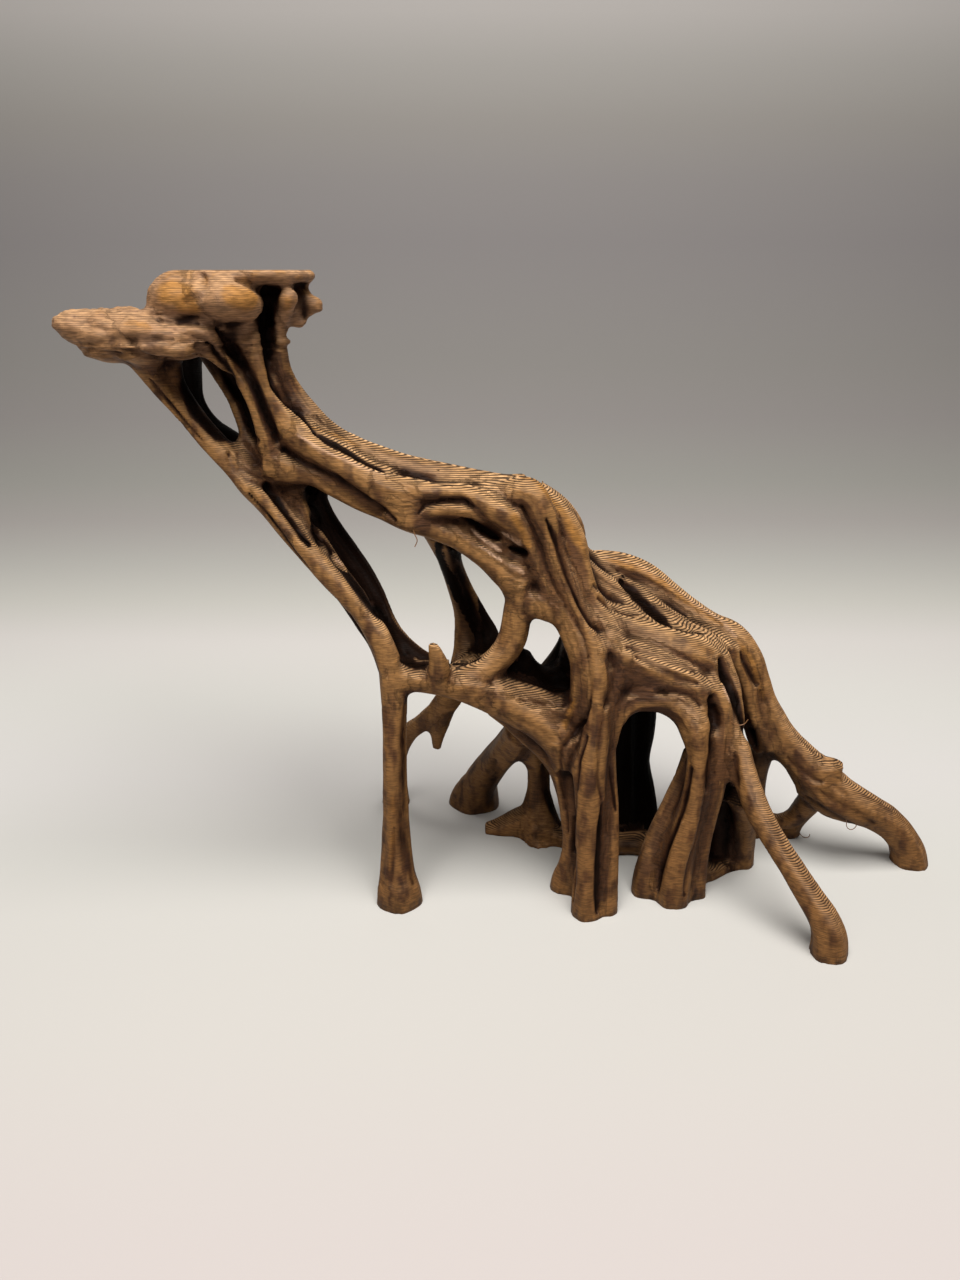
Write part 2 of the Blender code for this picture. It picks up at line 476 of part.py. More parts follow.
# Thinned to a light faceted body
thin = fused.modifiers.new("thin", "DECIMATE")
thin.ratio = BODY_TRIANGLES / (2 * len(fused.data.polygons))
thin.use_collapse_triangulate = True
root = evaluated_copy(fused, "mangrove_root")
bpy.context.scene.collection.objects.unlink(root)
parts.objects.link(root)

# Centred over the origin
corners = [vertex.co for vertex in root.data.vertices]
centre_x = (min(c.x for c in corners) + max(c.x for c in corners)) / 2
centre_y = (min(c.y for c in corners) + max(c.y for c in corners)) / 2
root.data.transform(Matrix.Translation((-centre_x, -centre_y, 0)))

# Flat feet on the ground and a flat top on the upper ledge
ground = add_cutter("ground", (0, 0, -20 * MM), (400 * MM, 300 * MM, 40 * MM))
sky = add_cutter("sky", (0, 0, HEIGHT + 20 * MM), (400 * MM, 300 * MM, 40 * MM))
cut(root, ground)
cut(root, sky)

plastic = bpy.data.materials.new("wood-brown printed plastic")
plastic.use_nodes = True
shader = plastic.node_tree.nodes["Principled BSDF"]
shader.inputs["Base Color"].default_value = WOOD_BROWN
shader.inputs["Roughness"].default_value = 0.62
shader.inputs["Metallic"].default_value = 0
root.data.materials.clear()
root.data.materials.append(plastic)
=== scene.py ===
import math

import bmesh
import bpy
import numpy as np
from mathutils import Matrix, Vector, noise
from mathutils.bvhtree import BVHTree
from mathutils.kdtree import KDTree


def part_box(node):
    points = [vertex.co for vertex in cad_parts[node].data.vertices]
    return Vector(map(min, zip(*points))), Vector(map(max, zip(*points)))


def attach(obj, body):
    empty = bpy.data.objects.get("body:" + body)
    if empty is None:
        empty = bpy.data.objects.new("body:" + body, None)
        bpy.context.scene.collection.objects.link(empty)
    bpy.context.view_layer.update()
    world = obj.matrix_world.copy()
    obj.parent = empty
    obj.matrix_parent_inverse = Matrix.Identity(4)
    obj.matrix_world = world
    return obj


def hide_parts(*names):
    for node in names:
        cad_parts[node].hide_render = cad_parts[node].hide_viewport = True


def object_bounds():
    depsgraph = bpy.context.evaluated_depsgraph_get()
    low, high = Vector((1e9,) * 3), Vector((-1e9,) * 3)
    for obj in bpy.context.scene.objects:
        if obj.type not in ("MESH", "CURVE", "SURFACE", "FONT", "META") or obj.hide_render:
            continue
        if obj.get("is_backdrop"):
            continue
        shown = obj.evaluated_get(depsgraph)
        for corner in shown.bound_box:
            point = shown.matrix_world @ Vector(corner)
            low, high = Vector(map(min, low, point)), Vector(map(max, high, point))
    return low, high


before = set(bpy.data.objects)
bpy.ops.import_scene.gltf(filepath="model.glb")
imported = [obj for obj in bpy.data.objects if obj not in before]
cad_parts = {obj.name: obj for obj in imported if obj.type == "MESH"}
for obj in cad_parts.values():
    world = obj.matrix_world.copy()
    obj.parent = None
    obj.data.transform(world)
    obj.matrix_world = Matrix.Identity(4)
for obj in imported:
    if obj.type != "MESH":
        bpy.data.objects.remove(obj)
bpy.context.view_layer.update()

# The root. The real one is a model of a mangrove's stilt roots: round strands that run together,
# printed in one piece in wood-brown plastic, with a dark stain in its hollows and ochre brushed on
# its high parts. It stands loose on its own feet.
MM = 0.001
root_low, root_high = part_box("mangrove_root")
HEIGHT = root_high.z

# Its shape is drawn as the photograph shows it, from a viewpoint level with its flat top
EYE_X = -17 * MM
EYE_DISTANCE = 261 * MM
EYE = Vector((EYE_X, -EYE_DISTANCE, HEIGHT))


def sight_point(across, up, depth):
    """Where the front view's point really lies at its depth, and how much larger it is there."""
    on_plane = Vector((across * MM, 0, up * MM))
    growth = (EYE_DISTANCE + depth * MM) / EYE_DISTANCE
    return EYE + (on_plane - EYE) * growth, growth


# The strands, as in the solid. Each point is (across, up, depth, radius) in mm: across and up as the
# front view shows the point on the root's middle plane, depth behind that plane
STEMS = {
    "outer stem": [
        (-104.4, 158.4, -6, 4.4), (-101.4, 152, -6, 2.9), (-96.5, 145, -6, 2.3), (-92.9, 140, -6, 2.3),
        (-89, 135, -6, 2.4), (-84.4, 130, -6, 2.6), (-80.4, 125, -6, 2.9),
    ],
    "second stem": [
        (-99, 159, -4, 3.4), (-97.5, 152, -4, 2.8), (-94.5, 146, -4, 2.6), (-91, 140.5, -4, 2.6),
        (-87, 135.5, -4, 2.8), (-83, 130.5, -4, 3.2), (-77.5, 124.5, -4, 3.2),
    ],
    "loop stem": [
        (-93.5, 161, 7, 4), (-93.8, 154, 10, 3.6), (-93, 147, 11, 2.9), (-89.5, 141, 11, 2.8),
        (-84.5, 137, 9, 3), (-79, 133, 6, 3.5), (-73, 128, 4, 4),
    ],
    "stem by the hole": [
        (-88.5, 162, 2, 2.8), (-85.8, 155, 2, 2), (-82.2, 148, 1, 1.9), (-79.8, 141, 0, 2.1),
        (-78.3, 135, -1, 2.8), (-75, 129, -2, 3.6),
    ],
    "slim stem": [
        (-91, 166, -6, 2.6), (-86, 160.5, -6, 1.9), (-81.5, 155, -6, 1.7), (-78, 149, -6, 1.7),
        (-75.8, 142, -6, 1.8), (-74.2, 135, -5, 2.4), (-71, 129, -4, 3.4),
    ],
    "stem behind the slim one": [
        (-85, 170, 6, 4), (-84, 164, 6, 3.4), (-82.6, 157, 6, 2.8), (-80.8, 150, 5, 2.4),
        (-78.4, 143, 4, 2.3), (-76.5, 136, 3, 3), (-73, 130, 3, 4),
    ],
    "main stem": [
        (-80, 171, -4, 4.2), (-77.5, 165, -4, 3.2), (-76.3, 160, -4, 2.9), (-75, 155, -4, 3),
        (-73.2, 150, -4, 3.2), (-71, 145, -4, 3.6), (-68, 140.8, -4, 4),
    ],
    "dark stem": [
        (-72.5, 173, 3, 3.2), (-71.7, 165, 4, 2.6), (-71.6, 158, 4, 2.6), (-70, 151, 4, 2.8),
        (-66.5, 145, 4, 3), (-62, 139.5, 3, 3.4), (-56, 135, 3, 3.6),
    ],
    "right stem": [
        (-66.9, 178, -3, 2.8), (-67.4, 172, -2, 2.5), (-68.6, 166, 0, 2), (-69.3, 160, 1, 2.1),
        (-68.8, 155, 2, 2.3), (-66.6, 150, 3, 2.7), (-63.4, 145, 3, 3.1), (-60.5, 140.8, 3, 3.5),
    ],
}
TRUNK = {
    "crest strand": [
        (-60.5, 140.8, 3, 3.5), (-57, 137.5, 3, 3.8), (-52, 134.7, 3, 3.9), (-46, 132.4, 3, 3.8),
        (-40, 130.5, 3, 3.7), (-32, 128.6, 3, 3.6), (-24, 127, 2, 3.5), (-16, 125.2, 1, 3.5),
        (-9, 124.2, 0, 3.5), (-4, 124.5, -2, 3.7),
    ],
    "middle strand": [
        (-68, 140.8, -4, 4), (-64, 137.5, -4, 4.3), (-60, 134.5, -4, 4.6), (-55, 131.3, -4, 4.8),
        (-50, 127.8, -4, 5), (-45, 124.8, -4, 5.2), (-40, 122.2, -4, 5.4), (-35, 119.5, -4, 5),
    ],
    "lower strand": [
        (-76, 131, -3, 4.4), (-69, 130, -3, 4.4), (-62, 128.5, -3, 3.7), (-56.5, 124.9, -3, 3.3),
        (-50, 120.9, -3, 2.8), (-44, 118.3, -3, 2.7), (-38, 116, -3, 3.2),
    ],
    "core of the trunk": [
        (-76, 134, 1, 4.5), (-66, 132, 2, 4.5), (-55, 129, 2, 4.8), (-45, 125, 2, 5), (-35, 121, 2, 5),
        (-26, 119.5, 2, 3.6),
    ],
    "back of the trunk": [
        (-76, 133, 6, 4.5), (-65, 131, 8, 4.5), (-54, 127.5, 8.5, 4.5), (-44, 124, 8.5, 4.5),
        (-34, 121, 8, 4.5), (-24, 119, 8, 4.5), (-14, 117, 8, 4.6), (-4, 114, 8, 4.8),
    ],
    "neck": [(-83, 134, 0, 3.6), (-77, 129.5, 0, 4.8), (-70, 126.8, 1, 4.2), (-64, 126.5, 2, 3.4)],
    "brow of the eye": [
        (-45, 125.5, -4, 4), (-38, 124, -5, 3.3), (-30, 123, -6, 2.9), (-23, 122.5, -6, 2.8),
        (-17, 120.5, -6, 3.2), (-11, 117.5, -6, 3.6), (-6, 113.5, -6, 3.4), (-2.5, 108.5, -6, 3),
    ],
    "lid of the eye": [
        (-37, 117, -5, 3), (-31, 118.3, -7, 2.2), (-25, 118.5, -7.5, 2), (-20, 117, -7, 1.8),
        (-16.5, 114.5, -6, 1.5),
    ],
    "sill of the eye": [
        (-42, 120, -4, 5), (-36, 116, -5, 4.4), (-30, 113.2, -5, 3.4), (-23, 110, -5, 3.1),
        (-15, 104.6, -5, 3.3), (-9, 99, -5, 4), (-4, 95, -6, 4),
    ],
    "floor of the eye": [(-27, 114, 1, 3.4), (-18, 109, 1, 4), (-10, 105, 1, 4.4), (-3, 101, 0, 4)],
    "inside of the hump": [
        (-8, 117, 3, 4.6), (0, 110, 4, 5), (6, 99, 4, 5), (11, 88, 3, 5.5), (15, 76, 0, 6),
        (16, 64, -4, 6), (17, 52, -6, 5),
    ],
}
LEFT_BRANCH = {
    "outer strand of the branch": [
        (-80.4, 125, -6, 2.9), (-76, 120, -6, 2.9), (-72.3, 115, -6.5, 2.9), (-68.4, 110, -7, 3),
        (-64.3, 105, -7, 3.1), (-60.3, 100, -7.5, 3.1), (-56.2, 95, -8, 3.1), (-52.2, 90, -8.5, 3.1),
        (-48.7, 85, -9, 3.2), (-46.2, 80, -10, 3.3), (-44.4, 75, -10.5, 3.5), (-43.3, 70, -11, 3.6),
        (-42.7, 65, -11, 3.8), (-42.5, 60, -11, 3.9),
    ],
    "second strand of the branch": [
        (-77.5, 124.5, -4, 3.2), (-73, 118.5, -4.5, 2.8), (-69.3, 112.5, -5, 2.7),
        (-65.3, 106.5, -5.5, 2.8), (-60.8, 100.5, -6, 2.9), (-55.5, 94, -6.5, 2.9),
        (-50.5, 87.5, -7.5, 3), (-46.5, 80, -9, 3.2), (-43.5, 72, -10.5, 3.6),
    ],
    "middle strand of the branch": [
        (-71, 127, 0, 4), (-67.3, 120, 0, 2.7), (-64.5, 113.5, -1, 2.3), (-61, 107.5, -2, 2.5),
        (-57, 101, -3.5, 2.6), (-52.5, 94, -5.5, 2.7), (-49, 87, -8, 2.8),
    ],
    "inner strand of the branch": [
        (-64, 124, 6, 3.6), (-60.3, 116, 8, 2.9), (-57, 110.5, 8, 2.9), (-53.4, 105, 7.5, 2.9),
        (-50.5, 100, 6.5, 2.9), (-48, 95, 5, 2.9), (-45.9, 90, 3, 2.9), (-43.9, 85, 1, 2.9),
        (-41.1, 80, -2, 3), (-37.4, 75.5, -4, 3.2), (-32, 71.6, -5, 3.2), (-27, 69.5, -5, 3.6),
    ],
    "back strand of the branch": [
        (-77, 128, 6, 4), (-71.5, 119, 9, 3.4), (-66, 110, 9.5, 3.1), (-61, 102.5, 8, 3), (-56, 95, 5, 3),
        (-51, 87, 1, 3), (-46, 78, -5, 3.2), (-43, 70, -9, 3.6),
    ],
    "front leg": [
        (-42.5, 60, -11, 3.9), (-42.8, 50, -12, 3.7), (-43.1, 40, -13, 3.6), (-43.2, 30, -13.5, 3.7),
        (-43.2, 20, -14, 4), (-43.3, 10, -14, 4.6), (-43.3, 0, -14.5, 5.6), (-43.1, -6, -15, 6.8),
        (-43.1, -13, -15, 7.4),
    ],
}
MIDDLE = {
    "link": [
        (-41, 67.5, -11, 3.8), (-35, 67.2, -9.5, 3.8), (-30, 66.6, -8.5, 4), (-25, 65.9, -8, 4.6),
        (-19, 64.5, -7, 5.2), (-12, 61.3, -6, 5.6), (-4, 57, -6, 6), (4, 52.5, -7, 6.2),
        (11, 48, -9, 5.6), (15, 41, -12, 4.8),
    ],
    "arc of the link": [
        (-4, 96, -5, 4), (-5.6, 91, -5, 4.1), (-6.5, 85.5, -5, 4), (-7.6, 80, -5, 4.1),
        (-11, 74.5, -5.5, 3.8), (-16, 69.8, -6, 4), (-22, 67, -7, 4),
    ],
    "upper web": [
        (-12, 66.5, -4, 4), (-4, 62, -3, 4.2), (4, 58, -4, 4.6), (11, 57.5, -7, 5), (16, 58, -10, 4.4),
    ],
    "lower web": [
        (-12.5, 60, -3, 4.3), (-7, 55.2, -2, 4.3), (-1.5, 50, -2, 4.6), (4, 44.2, -5, 4.5),
        (8, 37, -8, 3.8), (10.3, 29, -9, 3.5), (12, 20, -10, 3.5), (12.6, 9, -10.5, 3.3),
        (11.7, 2.5, -10, 3.6), (10.4, -3, -8.5, 4.3), (10, -9, -8, 4.7),
    ],
    "thorn": [
        (-29.6, 66, -10, 3.6), (-29.1, 71, -12, 3), (-29.9, 75, -12.8, 2.2), (-31.2, 79.4, -13.3, 1),
    ],
    "web to the brace": [
        (-24, 66.5, -5, 4.4), (-22, 68.2, 3, 4.8), (-20, 69.5, 11, 4.6), (-19, 71, 18, 4.2),
    ],
    "brace": [
        (-30, 114, 7, 4), (-26.4, 105, 16, 2.8), (-23.6, 96, 22, 2.8), (-21.4, 88, 24, 3.1),
        (-20.8, 80, 23, 3.6), (-21.3, 72, 20, 4.2), (-24.3, 65, 18, 4), (-28.6, 58, 20, 3.4),
        (-34.2, 53, 25, 2.6), (-38.8, 49, 30, 2.6), (-42, 42, 35, 2.7), (-43, 34, 40, 3),
        (-43, 28, 43, 3.8), (-43, 23, 43, 4.6),
    ],
    "inner strand of the brace": [
        (-24.5, 110, 8, 3.4), (-24.7, 105, 14, 2.5), (-23, 99.5, 20, 2.2), (-20.4, 93, 23, 2.3),
        (-17, 86, 24, 2.6), (-14.4, 80, 23, 3.1), (-14.5, 73, 18, 3.8), (-18, 67, 10, 4),
    ],
    "spur": [(-27, 60, 19, 3.2), (-28.8, 53, 21, 2.6), (-29.9, 48, 22, 1.8), (-30.2, 43.2, 22, 1)],
    "back left leg": [
        (-4, 51, 2, 5), (-7.8, 45.3, 16, 4.8), (-12.6, 39.3, 29, 4.7), (-16.8, 32.6, 37, 5.2),
        (-18.4, 27, 42.5, 7.4), (-18.7, 21, 44, 8.6),
    ],
    "inner left leg": [
        (-1, 52, 5, 4.8), (-0.5, 44, 14, 4.4), (0.8, 37, 20, 3.3), (1.1, 30, 22, 3.4), (1.3, 24, 22, 4.8),
        (2.2, 17, 21, 6), (2.2, 11, 20, 6.6),
    ],
    "toe of the inner left leg": [
        (1, 21, 21, 4.6), (-5, 18.2, 23, 4.3), (-10.5, 15.9, 24, 3.6), (-15.8, 15, 24.5, 2.4),
    ],
    "root along the ground": [
        (2, 15.5, 21, 4.6), (9, 12.8, 17.5, 4), (17, 11.4, 14.5, 4), (25, 11, 12, 4.2), (33, 11, 12, 4.2),
        (41, 9, 5, 3.6),
    ],
    "strand in the window": [
        (12, 88, 3, 3.6), (9.4, 80.5, 8, 3), (6.5, 75, 11, 2.7), (3.5, 70.5, 13, 2.7), (0, 65.5, 13, 3.4),
        (-3, 61, 8, 4),
    ],
    "shade of the window": [(13, 85, 2, 4.3), (11, 77, 6, 4.1), (9.5, 69, 9, 4.2), (7, 62, 10, 4.2)],
    "floor of the window": [(-8.5, 77, -1, 3.4), (-5.5, 70.8, 4, 3.8), (-1, 65.2, 8, 4), (7, 62, 6, 4.2)],
}
HUMP = {
    "front strand of the hump": [
        (-9, 122.5, -4, 3.8), (-4, 122.8, -5, 4.4), (0, 117.5, -6, 3.8), (2.2, 110.5, -6, 3.2),
        (4.2, 103.5, -6.5, 3.1), (6.7, 97, -7, 3.1), (9.6, 90, -8, 3.1), (12.6, 83.5, -9, 3.3),
        (15.5, 76, -11, 3.6), (17, 68, -13, 3.8), (17.7, 60, -14, 3.5),
    ],
    "side strand of the hump": [
        (-7, 121.9, 2, 5), (-0.7, 119.7, 2, 5.1), (4.9, 114.7, 1, 4.7), (8.5, 109, 0, 4.2),
        (10.2, 103.2, -1, 3.9), (12, 97.5, -2, 3.8), (14.6, 91, -3, 3.9), (18, 84.5, -5, 4),
        (21, 77.5, -7, 4.4), (21.7, 70, -9, 4.4), (20.8, 62, -11, 3.8),
    ],
    "inner strand of the hump": [
        (-2.5, 108.5, -6, 3), (0, 102, -6.5, 2.8), (3, 95, -7, 2.8), (6, 88, -8, 2.8), (9, 81.5, -9, 2.8),
        (12.3, 74, -10, 3.2), (13.6, 66, -10, 4), (14, 58, -9, 4.5), (13.3, 50, -8, 4.4),
        (11.5, 42, -8, 4),
    ],
    "web over the window": [
        (-9, 98, -4, 3.6), (-3.5, 92.5, -5, 4.4), (1.5, 90.2, -6, 4.2), (6, 88, -6, 4),
    ],
    "front leg of the cluster": [
        (17.7, 60, -14, 3.5), (18.3, 50, -15, 3.9), (17.2, 42, -16, 4.5), (16.6, 34, -17, 4.8),
        (17, 25, -18, 4.6), (17.4, 15, -19, 4.3), (17.5, 5, -20, 4.2), (17.5, -5, -21, 4.3),
        (17.6, -12, -21.3, 4.6), (17.6, -19, -21.3, 4.9),
    ],
    "right leg of the cluster": [
        (20.8, 62, -11, 3.8), (21.5, 55, -12, 2.8), (21.6, 47, -12, 2.6), (21.9, 39, -13, 2.7),
        (22.7, 30, -14, 2.9), (23.5, 20, -15, 3), (24, 10, -17, 3), (24.2, 0, -18.5, 3),
        (24.2, -9, -19.5, 3.3), (24.2, -17, -20, 3.7),
    ],
    "back of the cluster": [
        (17, 52, -6, 5), (18, 40, -8, 4.6), (18.5, 25, -10, 4.4), (18.5, 10, -12, 4.4),
        (18.5, -5, -14, 4.8), (18.5, -14, -14, 5.2),
    ],
}
VAULT = {
    "ridge": [
        (-2.2, 122.3, 5, 4.3), (3.6, 118.2, 7, 4.3), (7.7, 112.8, 8.5, 4.3), (9, 106.6, 10.5, 4.1),
        (13, 102.5, 13, 4.2), (18, 101.7, 15, 4.6), (23, 100.6, 16, 4.9), (29, 98, 17, 5),
        (36, 92.4, 17, 5), (43, 87, 16, 5), (50, 82.8, 15, 4.9), (56, 80.2, 14, 4.8), (60.8, 75, 13, 4.3),
        (64.2, 68, 12, 3.8), (67, 60.5, 11, 4), (70.6, 53, 10, 4.7), (74.9, 46.6, 9, 5),
        (80.3, 41, 8, 5.2), (86, 34.9, 7, 6.5), (92, 28.8, 6, 7.1), (98.5, 25.1, 5, 6.3),
        (105.5, 21.8, 5, 5.3), (111.9, 17.3, 5, 4.7), (116.7, 11.6, 5, 4.6), (119.5, 5.6, 5.5, 5.3),
        (120.2, 0, 6, 6.2),
    ],
    "knob on the ridge": [(87, 36.5, 5, 4), (90.7, 37.2, 5, 3.5), (93.2, 35.6, 5, 3)],
    "inner strand of the ridge": [
        (48, 79, 9, 4.2), (55, 76, 9, 3.5), (59.3, 71, 9, 2.8), (61.6, 65, 9, 2.7), (63.6, 58, 9, 3),
        (66.6, 51, 9, 4), (70, 45, 9.5, 4.4),
    ],
    "leg under the ridge": [
        (69, 47, 12, 4.4), (67.8, 38, 16, 3.6), (67.7, 30, 20, 3.5), (68.2, 24, 22, 4),
        (68.6, 17, 24, 4.8), (68.6, 13, 24, 5.2),
    ],
    "small right leg": [
        (88, 30, 8, 4.8), (84.9, 24.8, 13, 3.7), (82, 20.2, 18, 3.2), (80.3, 16.7, 22, 3.3),
        (79.7, 12.5, 23, 3.7),
    ],
    "rung by the small leg": [
        (84, 21.6, 14, 2.7), (78, 18.7, 18, 2.4), (72.5, 18.7, 22, 2.6), (68.5, 18.6, 23, 3.4),
    ],
    "knob in the gap": [(84, 30, 8, 3.6), (80.9, 28.6, 9, 1.5)],
    "floor of the valley": [
        (8, 106, 7, 4), (14, 98.5, 10, 4), (22, 95.3, 12, 4.4), (29, 92, 12.5, 4.5), (36, 87, 12.5, 4.6),
        (43, 82.5, 12, 4.6), (50, 78.5, 10, 4.4),
    ],
    "strand beside the valley": [
        (8, 104, 4, 4), (14.5, 98, 6, 4), (21, 93.3, 7, 3.7), (27, 90, 7, 3.6), (34, 86.3, 7, 4),
        (41, 81.5, 6.5, 4.2), (48, 78, 5, 4.4), (53.5, 73, 4, 3.8),
    ],
    "back of the saddle": [
        (12, 94.5, 1, 4), (19, 89.5, 3, 4.2), (27, 86, 4, 4.6), (35, 82.3, 4, 5), (43, 78.7, 3.5, 5),
    ],
    "saddle": [
        (12, 93, -2, 4), (18, 86.8, -2, 4.4), (24, 83.3, -1, 4.9), (31, 80.8, 0, 5.4), (38, 78.2, 0, 5.8),
        (45, 75.5, 0, 5.8), (50.5, 71.5, 0, 5), (54.5, 66, -2, 4),
    ],
    "front of the saddle": [
        (17, 78, -8, 4.6), (23, 75.3, -7, 5), (30, 72.3, -6, 5.4), (37, 69.3, -6, 5.4), (44, 66, -6, 5),
        (50, 61, -7, 4.4),
    ],
    "breast of the arch": [
        (20, 71, -8, 4.4), (28, 68, -7, 4.6), (36, 66, -7, 4.6), (44, 62, -8, 4.2), (49, 56, -9, 3.8),
    ],
    "arch": [
        (22, 46, -12, 2.6), (23.6, 54, -11, 3.2), (27.5, 60, -9, 4), (33, 61.6, -8, 4.4),
        (39.5, 60.2, -8, 4.4), (45, 56.3, -9.5, 4.7), (48.3, 50, -11.5, 4.7), (49.8, 42, -13, 3.7),
        (50, 34, -14, 3.6), (49.3, 25, -14.5, 4), (47.5, 15, -15, 4.4), (46.2, 5, -15, 4.9),
        (45.5, -4, -15, 5.2), (45.4, -13, -14.6, 5.5),
    ],
    "rib of the third leg": [
        (48.9, 44, -6, 3.4), (45.5, 33.5, -6, 2.6), (42.2, 24, -7, 2.8), (39.2, 14, -8, 3.4),
        (37.1, 4, -9.5, 3.9), (36.3, -4, -10.5, 4.2), (36.3, -10, -10.5, 4.4),
    ],
    "outer strand of the third leg": [
        (50, 67, -3, 4.4), (54.3, 61.5, -6, 3.6), (56.4, 54, -8, 3), (56.4, 45, -10, 2.9),
        (56, 36, -11, 2.9), (55.3, 27, -11, 2.9), (53.9, 17, -11, 2.8), (52.9, 7, -11.5, 2.8),
        (52.6, -3, -12, 3), (52.6, -11, -12, 3.3),
    ],
    "inside of the third leg": [
        (58, 46, 1, 4.4), (58.8, 32, 3, 4.2), (59.3, 17, 5, 4.4), (59.6, 5, 6, 4.8), (59.6, -2, 6, 5),
    ],
    "back of the third leg": [
        (48, 60, 4, 5), (52, 46, 2, 4.6), (52.5, 30, 0, 4.4), (51.5, 15, -2, 4.6), (50, -4, -4, 5.2),
    ],
    "long root": [
        (51.5, 74, 2, 4.6), (55.7, 67, -1, 3.4), (58.4, 60, -5, 2.8), (60.3, 52, -8, 2.9),
        (62, 44, -11, 3.1), (64.3, 36, -14, 3.5), (67.4, 28, -17, 3.8), (71.7, 19, -21, 3.7),
        (77.5, 9.5, -26, 3.6), (83.9, 0, -31, 3.8), (90.2, -10, -35, 4.3), (95.3, -18, -38, 4.8),
        (98.3, -25.5, -39.5, 5.5), (99, -34, -39.5, 6.2),
    ],
    "leg behind the long root": [
        (63.5, 28, -9, 4), (65.4, 22, -4, 3.6), (66.2, 14, 1, 3.4), (66.4, 7, 4, 3.6), (66.4, 0, 5, 4),
    ],
    "root between the legs": [(47, 0, -8, 4), (54, -0.5, -4, 3.4), (61, 1.5, 2, 3), (66.4, 4, 5, 3.5)],
}
BACK = {
    "first back leg": [
        (-2, 118, 8, 4), (4, 108, 13, 4), (8.5, 97, 18, 4), (11, 85, 22, 4.2), (12.6, 72, 26, 4.4),
        (13.5, 60, 29, 4.4), (14.8, 48, 32, 4.4), (16.3, 36, 35, 4.6), (17.5, 27, 37, 5.4),
        (17.5, 19, 38, 6.6),
    ],
    "post": [
        (19, 98, 12, 4), (23.5, 88, 15, 4.4), (27, 76, 18, 4.7), (29.9, 64, 20, 5.2), (30.5, 52, 22, 5.1),
        (29.9, 40, 24, 4.8), (31.3, 28, 25, 6.2), (31.6, 19, 25, 7), (31.6, 12, 25, 7.6),
    ],
    "strand by the post": [
        (22, 74, 10, 4), (25, 60, 14, 4), (25.6, 46, 16, 4), (25.8, 30, 17.5, 4.4), (26.2, 15, 18, 5),
        (26.2, 9, 18, 5),
    ],
    "second back leg": [
        (36, 89, 19, 4), (44, 79, 23, 4.2), (49.5, 66, 27, 4.2), (52.3, 54, 31, 4.2), (53.3, 42, 34, 4.4),
        (53.3, 32, 36, 4.8), (53.3, 25, 37, 5.6), (53.3, 18, 37, 6.6),
    ],
    "rung at the back": [(14, 57, 29, 3.2), (22, 52.5, 27, 3), (30, 50, 23, 3.6)],
    "outer slope of the back": [
        (22, 97, 20, 4), (31, 90, 23, 4.4), (40, 83, 22, 4.4), (50, 78, 20, 4.4), (58, 72, 17, 4),
    ],
    "brow of the back": [
        (-20, 120, 9, 4), (-10, 118.5, 10, 4.2), (0, 113, 12, 4.4), (8, 105, 15, 4.2), (16, 98, 18, 4.2),
    ],
}

# Filling strands, where the real root is grown shut between two strands
FILLING_STRANDS = {
    "web between the stems": [
        (-84, 166, 0, 3.5), (-80.5, 159, 0, 2.6), (-77.3, 152, 0, 2.4), (-75.5, 145, 0, 2.6),
        (-74, 138, 0, 3),
    ],
    "web under the slab": [
        (-75.5, 174, 5, 4), (-72.8, 168, 5, 2.9), (-72.2, 160, 5, 2.5), (-71, 152, 5, 2.6),
    ],
    "fan under the ledge": [
        (-98, 163.5, -7, 3.2), (-91.5, 162.8, -8.5, 3.2), (-86, 160, -8, 2.6), (-82, 155.5, -7, 2.1),
    ],
    "upper floor of the eye": [
        (-26, 117, -3, 2.6), (-22, 114, -3, 3.4), (-14, 110, -3.5, 4), (-7, 106.5, -3.5, 4),
        (-2, 103, -3, 4),
    ],
    "lower floor of the eye": [
        (-22, 110.5, -4.5, 3), (-14, 106, -4.5, 3.6), (-8, 102, -4.5, 3.8), (-3, 99, -4, 4),
    ],
    "side of the right stem": [
        (-69.9, 173, -0.5, 2.1), (-70.3, 166, 0.5, 2.1), (-70.4, 160, 1.5, 2), (-69.3, 154.5, 2.5, 2),
    ],
    "web of the link": [
        (-14, 64, -7, 4.6), (-5, 57.5, -8, 5), (3, 51, -9, 5), (8, 44, -10.5, 4.4), (10, 37, -11, 3.6),
    ],
    "head of the hump": [(-20, 121.6, 3, 3), (-13, 122, 2.5, 4.3), (-6, 121.9, 2, 5)],
    "start of the front strand": [(-20, 122.4, -1, 2.2), (-14.5, 122.8, -2.5, 3.2), (-8, 122.6, -4, 3.8)],
    "lip of the web": [
        (-20, 66.5, -5, 3.2), (-13, 64.5, -5.5, 4), (-5, 61.8, -6, 4.4), (3, 58.8, -7, 4),
        (8, 56, -8, 3.4),
    ],
    "pocket of the window": [(-6, 74, 1, 3.8), (-1, 67.5, 4, 4.4), (5, 66, 6, 4.4), (10, 70, 5, 4.4)],
}

